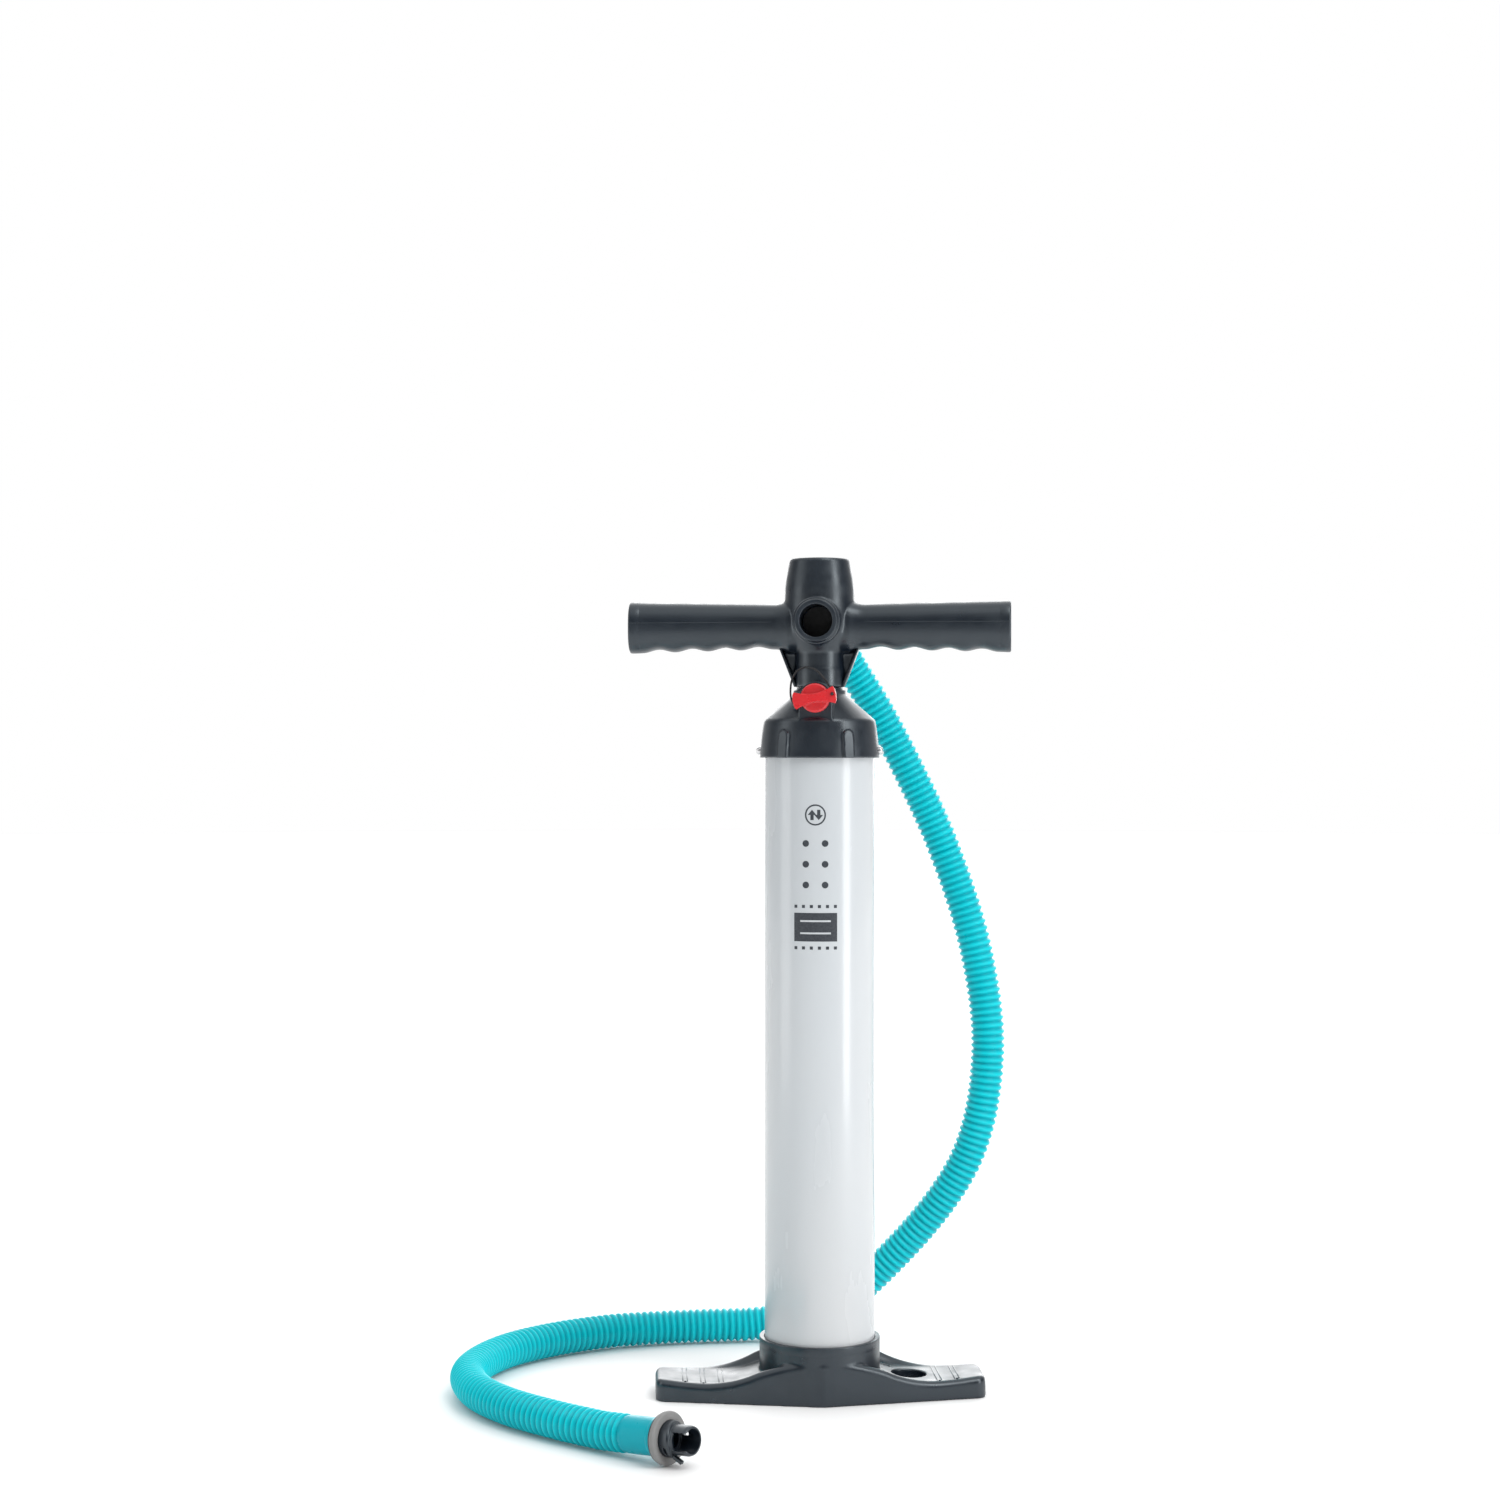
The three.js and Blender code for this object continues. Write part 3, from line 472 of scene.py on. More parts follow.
def clear_lens(name):
    tree, shader = material(name, (0.95, 0.98, 1.0), 0.03)
    shader.inputs["Transmission Weight"].default_value = 1.0
    shader.inputs["IOR"].default_value = 1.45
    rough_from(tree, shader, noise(tree, 200, 3), 0.02, 0.06, pattern_low=0.4)


moulded_plastic("dark_plastic", (0.0036, 0.0068, 0.0124), (0.0056, 0.0098, 0.0172), 0.33, 0.25, 0.82)
gloss_enamel("white_enamel")
moulded_plastic("red_plastic", (0.56, 0.008, 0.012), (0.66, 0.014, 0.02), 0.3, 0.12, 0.7)
hose_plastic("teal_hose")
soft_rubber("grey_rubber", (0.185, 0.184, 0.183), 0.62)
soft_rubber("black_rubber", (0.006, 0.006, 0.007), 0.6)
lined_metal("steel", (0.62, 0.62, 0.63), 0.24, (1, 6, 6))
lined_metal("aluminium", (0.78, 0.79, 0.8), 0.3, (10, 10, 0.4))
soft_rubber("dial_print", (0.8, 0.81, 0.79), 0.45)
clear_lens("clear_lens")
ink("print_ink")


SLOTS = {row["node"]: row["material_slot"] for row in frame["record"]["subparts"]}


def finish(piece, node, slot=None, body=None, look=None, rides=True):
    """Gives a piece its look and body: those of the CAD node that it stands for, unless told others."""
    slot = slot or SLOTS[node]
    piece.data.materials.clear()
    piece.data.materials.append(MATERIALS[look or slot])
    if rides:
        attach(piece, body or frame["nodes"][node]["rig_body"])
    if node:
        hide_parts(node)
    return piece


def solid(name, data, angle, node, rides=True):
    """A finished piece straight from points and faces."""
    return finish(smooth_shade(mesh_piece(name, *data), angle), node, rides=rides)


# ---- foot ----
def corner_inset(x, radius):
    """How far a rounded end of this radius draws in at x."""
    over = max(0, x - (FOOT_HALF_LENGTH - radius))
    return radius - sqrt(max(0, radius**2 - over**2))


def foot_half_depth(x):
    """Half the wing's depth before its corners are rounded."""
    taper = min(1, x / (FOOT_HALF_LENGTH - FOOT_CORNER_R))
    return FOOT_HALF_DEPTH + (FOOT_TIP_HALF_DEPTH - FOOT_HALF_DEPTH) * taper


def foot_crest(x):
    """Height of the wing's edges: a ridge by the collar, a dip, and a lip at the tip."""
    xs, zs = zip(*FOOT_CREST)
    lo = max(i for i in range(len(xs) - 1) if xs[i] <= x)
    before, after = max(0, lo - 1), min(len(xs) - 1, lo + 2)
    slope_a = (zs[lo + 1] - zs[before]) / (xs[lo + 1] - xs[before])
    slope_b = (zs[after] - zs[lo]) / (xs[after] - xs[lo])
    width = xs[lo + 1] - xs[lo]
    t = (x - xs[lo]) / width
    start = (2 * t**3 - 3 * t**2 + 1) * zs[lo] + (t**3 - 2 * t**2 + t) * slope_a * width
    return start + (-2 * t**3 + 3 * t**2) * zs[lo + 1] + (t**3 - t**2) * slope_b * width


def foot_dish(x):
    """How far the middle of a wing lies below the beads along its edges."""
    if x > DISH_DEEPEST_X:
        return DISH_DEPTH * exp(-(((x - DISH_DEEPEST_X) / DISH_FADE) ** 2))
    return DISH_DEPTH * max(0, (x - DISH_START_X) / (DISH_DEEPEST_X - DISH_START_X))


def foot_floor(x):
    return foot_crest(x) - foot_dish(x)


def foot_section(x):
    """One cross-section of the foot, square to its length."""
    a, r = abs(x), FOOT_EDGE_R
    depth = foot_half_depth(a) - corner_inset(a, FOOT_CORNER_R)
    top = foot_crest(a) - corner_inset(a, FOOT_EDGE_R)
    flat = depth - r
    arc = [(-cos(t), sin(t)) for t in np.linspace(0, pi / 2, 7)]
    points = [Vector((x, -depth, 0))]
    points += [Vector((x, -flat + r * c, top - r + r * s)) for c, s in arc]
    for y in np.linspace(-flat, flat, 24)[1:-1]:
        share = min(1, max(0, (flat - abs(y)) / 5)) ** 1.5
        points.append(Vector((x, y, top - foot_dish(a) * share)))
    points += [Vector((x, flat - r * c, top - r + r * s)) for c, s in reversed(arc)]
    points.append(Vector((x, depth, 0)))
    return points


def foot_stations():
    """Where along its length the foot's sections lie, closer together round its ends."""
    inner_end = FOOT_HALF_LENGTH - FOOT_CORNER_R
    inner = np.linspace(-inner_end, inner_end, 90)
    turns = np.linspace(0, pi / 2, 8)[1:]
    tip = [FOOT_HALF_LENGTH - FOOT_CORNER_R * (1 - sin(t)) for t in turns]
    return [-t for t in reversed(tip)] + list(inner) + tip


def foot_pocket(side, start, end, front):
    """A pocket under a wing, on one side of its centre rib."""
    rings = []
    for x in np.linspace(start, end, 6):
        depth = foot_half_depth(x) - FOOT_WALL - corner_inset(x, FOOT_CORNER_R)
        top = foot_floor(x) - FOOT_WALL
        near, far = 1.6, depth - 0.4
        if front > 0:
            corners = ((near, -1), (near, top), (far, top), (far, -1))
        else:
            corners = ((-far, -1), (-far, top), (-near, top - 2.5), (-near, -1))
        rings.append([Vector((side * x, y, z)) for y, z in corners])
    return skin(rings)


def foot_pockets():
    """Every pocket; the round hole takes the place of some."""
    spans = ((55, 88), (91.5, 96.5), (100, FOOT_HALF_LENGTH - FOOT_WALL - 0.5))
    pockets = []
    for side in (-1, 1):
        for start, end in spans:
            if side > 0:
                start = max(start, FOOT_HOLE_X + FOOT_HOLE_R + 3)
            if end - start >= 4:
                pockets += [foot_pocket(side, start, end, front) for front in (-1, 1)]
    return pockets


def foot_treads():
    """Thin raised lines across each wing, in pairs, each pair with a small stud at its front end."""
    solids = []
    for side in (-1, 1):
        for k in range(3):
            centre = TREAD_X + k * TREAD_PITCH
            for x in (centre - TREAD_GAP, centre + TREAD_GAP):
                if side > 0 and abs(x - FOOT_HOLE_X) < FOOT_HOLE_R + 2:
                    continue
                solids.append(tread_line(side, x))
            stud = [(0, -0.6), (1.1, -0.6), (1.1, 0.1), (0.75, 0.65), (0, 0.85)]
            where = (side * centre, 6 - foot_half_depth(centre), foot_floor(centre))
            solids.append(turned(stud, 20, Matrix.Translation(where)))
    return joined(solids)


def tread_line(side, x):
    reach = foot_half_depth(x) - 6.5
    rings = []
    for y, h in ((-reach, 0.15), (-reach + 0.6, 0.55), (reach - 0.6, 0.55), (reach, 0.15)):
        hump = ((-0.5, -0.6), (-0.45, h * 0.6), (0, h), (0.45, h * 0.6), (0.5, -0.6))
        rings.append([Vector((side * x + dx, y, foot_floor(x) + dz)) for dx, dz in hump])
    return skin(rings)


def foot():
    turn = Matrix.Rotation(FOOT_TURN, 4, "Z")

    def place(data):
        return [turn @ Vector(v) for v in data[0]], data[1]

    wings = skin([foot_section(x) for x in foot_stations()])
    collar = drum(COLLAR_R, 0, COLLAR_TOP_Z, 128)
    hole = drum(FOOT_HOLE_R, -5, 60, 64, Matrix.Translation((FOOT_HOLE_X, 0, 0)))
    slot = rounded([(48.5, 16.5), (57.5, 16.5), (57.5, 20.8), (48.5, 20.8)], 1.4)
    cuts = [drum(BARREL_R + 0.5, BARREL_BOTTOM_Z - 0.3, 50, 128), hole, prism_z(slot, -5, 60)]
    cuts += foot_pockets()
    body = moulded("foot_moulding", [place(wings), place(collar)], [place(c) for c in cuts], 0.96, 2)
    rim_low, rim_in, rim_out = COLLAR_TOP_Z - 7, BARREL_R + 0.3, COLLAR_R + 0.03
    rim = [(rim_in, rim_low), (rim_out, rim_low), (rim_out, COLLAR_TOP_Z), (rim_in, COLLAR_TOP_Z)]
    finish(body, "base_foot")
    finish(lathe("foot_collar_rim", rim, 0.7, 160), "base_foot")
    solid("foot_tread_lines", place(foot_treads()), 50, "base_foot")


# ---- barrel and its prints ----
def barrel():
    inner = BARREL_R - 2.15
    profile = [(inner, BARREL_BOTTOM_Z), (BARREL_R, BARREL_BOTTOM_Z), (BARREL_R, BARREL_TOP_Z),
               (inner, BARREL_TOP_Z)]
    finish(lathe("barrel_enamelled_tube", profile, 0.4, 160), "barrel_tube")


def strip(x0, z0, x1, z1, width):
    """A straight mark from one point to another, in the barrel's unrolled surface."""
    a, b = Vector((x0, z0)), Vector((x1, z1))
    side = Vector((a.y - b.y, b.x - a.x)).normalized() * width / 2
    return [tuple(p) for p in (a + side, b + side, b - side, a - side)]


def rectangle(x, z, width, height):
    left, right, low, high = x - width / 2, x + width / 2, z - height / 2, z + height / 2
    return [(left, low), (right, low), (right, high), (left, high)]


def circle(x, z, r, count):
    turns = [2 * pi * k / count for k in range(count)]
    return [(x + r * cos(t), z + r * sin(t)) for t in turns]


def arrow(x, z, size, up):
    s = size * (1 if up else -1)
    shaft, head = 0.16 * size, 0.42 * size
    return [(x - shaft, z - 0.5 * s), (x + shaft, z - 0.5 * s), (x + shaft, z), (x + head, z),
            (x, z + 0.5 * s), (x - head, z), (x - shaft, z)]


def ring_mark(x, z, outer, inner, count=32):
    """A ring, as one small outline after another."""
    out = []
    for k in range(count):
        a, b = 2 * pi * k / count, 2 * pi * (k + 1) / count
        corners = ((inner, a), (outer, a), (outer, b), (inner, b))
        out.append([(x + r * cos(t), z + r * sin(t)) for r, t in corners])
    return out


def block_mark(z):
    """A solid label block with two slim windows left open in it."""
    half, high, bar = 17, 11, 5
    windows = ((-5.4, -4.0), (4.0, 5.4))
    rows = [(-high, windows[0][0]), (windows[0][1], windows[1][0]), (windows[1][1], high)]
    out = [rectangle(0, z + (a + b) / 2, 2 * half, b - a) for a, b in rows]
    for a, b in windows:
        out += [rectangle(side * (half - bar / 2), z + (a + b) / 2, bar, b - a) for side in (-1, 1)]
    return out


def square_row(z):
    return [rectangle(x, z, 2.4, 2.4) for x in np.linspace(-15.6, 15.6, 6)]


def print_on_barrel(name, outlines, front, window=None):
    """Thin ink on the barrel: flat outlines, cut into narrow slices and wrapped round it."""
    bm = bmesh.new()
    for outline in outlines:
        bm.faces.new([bm.verts.new((u, 0, v)) for u, v in outline])

    def cut(where, normal, clear=False):
        everything = bm.verts[:] + bm.edges[:] + bm.faces[:]
        bmesh.ops.bisect_plane(bm, geom=everything, plane_co=where, plane_no=normal, clear_outer=clear)

    if window:
        left, right, low, high = window
        for u, v, du, dv in ((left, 0, -1, 0), (right, 0, 1, 0), (0, low, 0, -1), (0, high, 0, 1)):
            cut((u, 0, v), (du, 0, dv), clear=True)
    for u in np.arange(-40, 40, 2.0):
        cut((u, 0, 0), (1, 0, 0))
    extruded = bmesh.ops.extrude_face_region(bm, geom=bm.faces[:])
    for v in extruded["geom"]:
        if isinstance(v, bmesh.types.BMVert):
            v.co.y = 1
    turn = -1 if front else 1
    for v in bm.verts:
        r = BARREL_R + (0.05 if v.co.y > 0.5 else -0.1)
        t = v.co.x / BARREL_R
        v.co = Vector((-turn * r * sin(t), turn * r * cos(t), v.co.z)) * MM
    bmesh.ops.recalc_face_normals(bm, faces=bm.faces)
    mesh = bpy.data.meshes.new(name)
    bm.to_mesh(mesh)
    bm.free()
    finish(link(bpy.data.objects.new(name, mesh)), None, "white_enamel", "pump_body", "print_ink")


def prints():
    """Plain generic marks where the object carries its printed graphics."""
    badge_z, dots_z, dot_pitch = 455, 433, 16
    front = ring_mark(0, badge_z, 8.2, 7.0)
    front += [arrow(-2.6, badge_z, 8, True), arrow(2.6, badge_z, 8, False)]
    for row in range(3):
        front += [circle(x, dots_z - row * dot_pitch, 2.6, 20) for x in (-7.5, 7.5)]
    front += square_row(384.5) + square_row(352.5) + block_mark(368.5)
    print_on_barrel("print_front", front, True)

    badge_z, arrows_z, arrow_pitch = 435, 385, 37.2
    back = [arrow(0, arrows_z - arrow_pitch * k, 18, k % 2 == 0) for k in range(6)]
    back += square_row(161) + square_row(132.5) + block_mark(146.7)
    back += ring_mark(0, badge_z, 13, 10.6, 40)
    back += [arrow(-4, badge_z, 12, True), arrow(4, badge_z, 12, False)]
    print_on_barrel("print_back", back, False)

    offsets = [k * 2.1 for k in range(-60, 110)]
    hatch = [strip(x - 60, 500, x + 140, 300, 0.75) for x in offsets]
    print_on_barrel("print_back_hatch", hatch, False, window=(-30, 30, 366, 462))


# ---- cap ----
def cap_pad(side):
    """One raised pad of the skirt, its face a little smaller than its foot."""
    half = PAD_WIDTH / 2
    turn = Matrix.Rotation(side * PAD_ANGLE, 4, "Z")
    rings = []
    for proud, shrink in ((-4, 1), (PAD_PROUD - 0.3, 1), (PAD_PROUD, 0.93)):
        ring = []
        for x, z in arch(half, CAP_BOTTOM_Z, PAD_TOP_Z - half):
            x, rise = x * shrink, (z - CAP_BOTTOM_Z) * (1 - (1 - shrink) * 0.2)
            r = CAP_R - rise * 0.1 + proud
            ring.append(turn @ Vector((x, -sqrt(r * r - x * x), CAP_BOTTOM_Z + rise)))
        rings.append(ring)
    return skin(rings)


def cap_screw(side, name):
    head = [(0, 46.2), (3.2, 46.2), (3.2, 48.0), (2.6, 49.3), (1.3, 50.0), (0, 50.0)]
    bottom, top = side * SCREW_SLOT_X, side * (SCREW_SLOT_X + 2)
    slots = []
    for half_high, half_deep in ((0.45, 2.1), (2.1, 0.45)):
        low, high = SCREW_Z - half_high, SCREW_Z + half_high
        outline = [(bottom, low), (top, low), (top, high), (bottom, high)]
        slots.append(prism_y(outline, -half_deep, half_deep))
    screw = moulded("screw_" + name, [turned(head, 40, along_x(SCREW_Z, side))], slots, 0.14, 2)
    finish(screw, "cap_screw_" + name)


def cap():
    neck_top_z = CAP_NECK_Z + 0.5
    outer = [(0, CAP_BOTTOM_Z), (CAP_R, CAP_BOTTOM_Z), (46.3, 508), (45.5, 516), (44.5, CAP_SKIRT_TOP_Z),
             (CAP_CONE_R + 0.9, CAP_CONE_Z - 1.6), (CAP_CONE_R, CAP_CONE_Z), (CAP_NECK_R, CAP_NECK_Z),
             (CAP_NECK_R, neck_top_z), (0, neck_top_z)]
    boss = prism_y(arch(BOSS_R, CAP_CONE_Z - 2, PLUG_Z), PLUG_FACE_Y, -18)
    hollow_r, hollow_low = BARREL_R + 0.1, CAP_BOTTOM_Z - 2
    hollow = [(0, hollow_low), (hollow_r, hollow_low), (hollow_r, 524.6), (40.5, 526), (20.5, 544.8),
              (19.2, 544.8), (19.2, 528), (0, 528)]
    adds = [turned(outer, 128), cap_pad(-1), cap_pad(1), boss]
    cuts = [turned(hollow), drum(13.5, 520, 560), drum(16.4, 536, 560)]
    cuts += [drum(CAP_NECK_R + 0.8, neck_top_z, 580), drum(8.2, -60, -22.5, 48, along_y(0, PLUG_Z))]
    finish(moulded("cap_moulding", adds, cuts, 0.73, 2), "top_cap")
    low, high, lip = gland_low.z - 0.6, gland_high.z, NECK_BOTTOM_Z - 0.35
    ring = [(13.5, low), (20.5, low), (20.5, high - 0.6), (19.8, high), (18.3, high), (18, lip), (13.5, lip)]
    finish(lathe("cap_gland_ring", ring, 0.3), "gland_nut")
    for side, name in SIDES:
        cap_screw(side, name)


# ---- release plug ----
def plug():
    y = PLUG_FACE_Y - 0.3
    spindle = [(0, y - 8), (10.2, y - 8), (11.25, y - 7), (11.25, y), (7.8, y), (7.8, y + 4), (6.4, y + 4),
               (6.4, y + 8), (7.8, y + 8), (7.8, y + 15), (0, y + 15)]
    disc = turned(spindle, 64, along_y(0, PLUG_Z))
    waist = []
    for k in range(25):
        x = PLUG_WING_HALF * (k / 12 - 1)
        waist.append((x, -(3.1 + 3.6 * (abs(x) / PLUG_WING_HALF) ** 1.8)))
    end = [(16.4, -4.5), (16.9, 0), (16.4, 4.5)]
    outline = waist + end + [(-x, -z) for x, z in waist + end]
    tilt = Matrix.Translation((0, 0, PLUG_Z)) @ Matrix.Rotation(PLUG_WING_TILT, 4, "Y")
    wing = prism_y(outline, y - 13.5, y - 6, tilt)
    eye = cord_eye()
    hole = drum(1.25, -80, -40, 24, along_y(eye.x, eye.z))
    finish(moulded("plug_winged_knob", [disc, wing], [hole], 0.3, 4), "plug_knob")


def cord_eye():
    """The middle of the hole in the plug's wing."""
    reach, lift = 14, radians(12)
    return Vector((reach * cos(lift), 0, PLUG_Z + reach * sin(lift)))


# ---- curves and tubes ----
def centripetal(points, per_span=24):
    """Centripetal Catmull-Rom curve through the points."""
    through = [np.array(q, float) for q in points]
    through = [2 * through[0] - through[1]] + through + [2 * through[-1] - through[-2]]
    out = []
    for i in range(1, len(through) - 2):
        near = through[i - 1 : i + 3]
        knots = np.cumsum([0] + [np.linalg.norm(b - a) ** 0.5 for a, b in zip(near, near[1:])])
        for t in np.linspace(knots[1], knots[2], per_span, endpoint=False):
            row = near
            for spans in (((0, 1), (1, 2), (2, 3)), ((0, 2), (1, 3)), ((1, 2),)):
                shares = [(t - knots[a]) / (knots[b] - knots[a]) for a, b in spans]
                row = [p * (1 - share) + q * share for share, p, q in zip(shares, row, row[1:])]
            out.append(row[0])
    out.append(through[-2])
    return np.array(out)


def resample(line, step):
    """Points at equal steps along a line, and how far along each is."""
    lengths = np.concatenate([[0], np.cumsum(np.linalg.norm(np.diff(line, axis=0), axis=1))])
    count = max(2, int(round(lengths[-1] / step)))
    at = np.linspace(0, lengths[-1], count + 1)
    return np.stack([np.interp(at, lengths, line[:, k]) for k in range(3)], axis=1), at


def tube(line, radii, sides):
    """Rings of the given radii round a line, without twist."""
    tangents = np.gradient(line, axis=0)
    tangents /= np.linalg.norm(tangents, axis=1)[:, None]
    side = np.array([0, 0, 1.0]) if abs(tangents[0][2]) < 0.9 else np.array([1.0, 0, 0])
    angles = np.linspace(0, 2 * pi, sides, endpoint=False)
    rings = []
    for p, t, r in zip(line, tangents, radii):
        side = side - t * side.dot(t)
        side /= np.linalg.norm(side)
        other = np.cross(t, side)
        rings.append([Vector(p + r * (side * cos(a) + other * sin(a))) for a in angles])
    return skin(rings)


# ---- the plug's cord ----
def cord_length(name, points):
    line, _ = resample(centripetal([tuple(p) for p in points], 16), 0.5)
    piece = solid(name, tube(line, [CORD_R] * len(line), 14), 60, "plug_cord", rides=False)
    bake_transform(piece)


def cord():
    """One length knotted to the cap, one through the plug's eye, meeting on top of the loop."""
    eye = cord_eye()
    anchor_x, anchor_z = -16.4, 537.5
    slope = (CAP_CONE_R - CAP_NECK_R) / (CAP_NECK_Z - CAP_CONE_Z)
    cone_r = CAP_CONE_R - slope * (anchor_z - CAP_CONE_Z)
    root = Vector((anchor_x, -sqrt(cone_r**2 - anchor_x**2), anchor_z))
    meeting = (-8, -41, 569)
    to_cap = [meeting, (-14, -38.5, 566.5), (-18.4, -37, 560), (-19.9, -35.6, 551), (-19.4, -33.4, 544.5),
              root + Vector((-0.8, -1.6, 2.2)), root]
    to_plug = [meeting, (-1, -43, 567.5), (5, -44.5, 562.5), (10, -46, 556),
               (eye.x - 1.2, -47.3, eye.z + 3), (eye.x, -48.5, eye.z), (eye.x, -57.2, eye.z)]
    cord_length("cord_cap_end", to_cap)
    cord_length("cord_plug_end", to_plug)
    bead = [(0, -1.3), (0.9, -0.9), (1.25, 0), (0.9, 0.9), (0, 1.3)]
    knot = lathe("cord_knot", bead, 0, 24, Matrix.Translation((eye.x, -57, eye.z)))
    finish(knot, "plug_cord", body="plug")
    lean = Vector((0, 0, 1)).rotation_difference(Vector((root.x, root.y, cone_r * slope)))
    button = [(0, -0.8), (2.1, -0.8), (2.1, 0.5), (1.5, 1.5), (0, 1.7)]
    anchor = lathe("cord_anchor", button, 0.2, 28, Matrix.Translation(root) @ lean.to_matrix().to_4x4())
    finish(anchor, "plug_cord", "dark_plastic", "pump_body")


# ---- handle ----
def grip_size(x):
    """Half height, half depth and middle height of the grip bar."""
    t = min(1, abs(x) / HANDLE_HALF)
    high, deep = (root + (tip - root) * t for root, tip in zip(GRIP_ROOT, GRIP_TIP))
    return high, deep, GRIP_Z - 0.5 * t


def flare_share(a):
    """How much of the flare into the hub is left at a distance from the hub's axis."""
    if a <= FLARE_START:
        return 1
    return max(0, (FLARE_END - a) / (FLARE_END - FLARE_START)) ** 2


def powered(value):
    return copysign(abs(value) ** GRIP_POWER, value)


def grip_section(x, shrink=0.0, sides=56):
    """One section of the grip bar, with finger scallops below and a flare; both go once it is shrunk."""
    high, deep, middle = grip_size(x)
    a = abs(x)
    bite = 0
    if shrink:
        high, deep = high - shrink, deep - shrink
    else:
        flare = FLARE * flare_share(a)
        high, deep = high + flare, deep + flare * 0.7
        phase = (a - SCALLOP_X) / SCALLOP_PITCH
        if -0.5 < phase < 3.5:
            bite = SCALLOP_DEPTH * (0.5 + 0.5 * cos(2 * pi * phase))
    ring = []
    for k in range(sides):
        c, s = cos(2 * pi * k / sides), sin(2 * pi * k / sides)
        reach = high - bite * abs(s) ** 1.5 if s < 0 else high
        ring.append(Vector((x, deep * powered(c), middle + reach * powered(s))))
    return ring


def grip_bar():
    straight = HANDLE_HALF - GRIP_END_R
    rings = [grip_section(x) for x in np.linspace(-straight, straight, 220)]
    middle = grip_size(HANDLE_HALF)[2]
    for side in (-1, 1):
        for lean in (0.35, 0.75, 1.0):
            inset = GRIP_END_R * (1 - sqrt(max(0, 1 - lean**2)))
            ring = []
            for p in grip_section(side * straight):
                flat = Vector((0, p.y, p.z - middle))
                flat = flat * (1 - inset / flat.length)
                ring.append(Vector((side * (straight + GRIP_END_R * lean), flat.y, middle + flat.z)))
            rings.insert(0 if side < 0 else len(rings), ring)
    return skin(rings)


def hub_profile():
    foot_r, waist_r = NECK_R - 0.4, NECK_R - 0.6
    return [(0, NECK_BOTTOM_Z), (foot_r, NECK_BOTTOM_Z), (NECK_R, NECK_BOTTOM_Z + 0.8), (NECK_R, 568.4),
            (waist_r, 569.6), (waist_r, 582), (22, 588), (HUB_R - 1, 596), (HUB_R, 602), (HUB_R, 622),
            (HUB_R - 0.35, HUB_TAPER_Z), (HUB_R - 1.5, 641), (HUB_TOP_R + 0.5, 650.5), (HUB_TOP_R, 653.6),
            (HUB_TOP_R - 1, HUB_TOP_Z), (0, HUB_TOP_Z)]


def port_profile(side):
    """Outside of one port's stub, from inside the hub towards its lip."""
    end = PORT_FACE_Y - 1
    outline = ((0, 0), (17.4, 0), (17.8, 26), (17.8, end - 3), (15.6, end), (0, end))
    return [(r, side * reach) for r, reach in outline]


def gusset_web(side):
    outline = [(14, 555.5), (19.4, 555.5), (31.8, GUSSET_TOP_Z), (14, GUSSET_TOP_Z)]
    return prism_y([(side * x, z) for x, z in outline], -2, 2)


def gusset_flange(side, name):
    """The thin flange along the outer edge of a gusset."""
    bottom = NECK_BOTTOM_Z + 0.6
    outline = [(17.4, bottom), (19.7, bottom), (33.4, GUSSET_TOP_Z), (31.9, GUSSET_TOP_Z)]
    data = prism_y([(side * x, z) for x, z in outline], -7, 7)
    finish(bevelled("gusset_flange_" + name, data, 0.35), "handle_body")


def port_lip(side, name):
    """The crisp stepped lip at the mouth of a port, as radii and distances behind its face."""
    outline = [(PORT_BORE_R, 8.5), (18.3, 8.5), (18.6, 4.6), (18, 3.6), (16.6, 3.2), (16.4, 0.5), (15.9, 0),
               (PORT_BORE_R + 0.4, 0), (PORT_BORE_R, 0.4)]
    profile = [(r, side * (PORT_FACE_Y - behind)) for r, behind in outline]
    finish(lathe("port_lip_" + name, profile, 0.25, place=along_y(0, PORT_Z)), "handle_body")


def grip_rim(side, name):
    """The crisp rim round an open arm end, as distances behind the end and how far in from the outside."""
    outline = ((9.5, 0.45), (8.6, 0.02), (1.5, -0.05), (0.5, 0.25), (0.05, 1.1), (0.05, 3.1), (0.5, 3.8),
               (9.0, 4.1))
    rings = [grip_section(side * (HANDLE_HALF - behind), inwards, 96) for behind, inwards in outline]
    solid("grip_rim_" + name, skin(rings, around=True), 50, "handle_body")


def grip_plug(side, name):
    """The cap set inside an arm's end, with a raised border round a shallow panel."""
    outline = ((138, 4.9), (147.6, 4.9), (148.6, 5.3), (149, 6.2), (149, 9.5), (148.2, 10.3), (148, 12.5))
    rings = []
    for x, inset in outline:
        rings.append([Vector((side * x, p.y, p.z)) for p in grip_section(side * 147, inset)])
    solid("grip_plug_" + name, skin(rings), 35, "handle_end_cap_" + name)


def seam(side, face, name):
    """The mould's parting line along one face of an arm, fading in by the hub."""
    points = []
    for x in np.linspace(30, HANDLE_HALF - 1.2, 60):
        high, deep, middle = grip_size(x)
        s = (SEAM_RISE / high) ** (1 / GRIP_POWER)
        out = deep * cos(asin(s)) ** GRIP_POWER - 0.14 + FLARE * flare_share(x) * 0.6
        points.append((side * x, face * out, middle + SEAM_RISE))
    radii = [SEAM_R * min(1, 0.15 + k / 9) for k in range(len(points))]
    solid("parting_line_" + name, tube(np.array(points), radii, 8), 60, "handle_body")


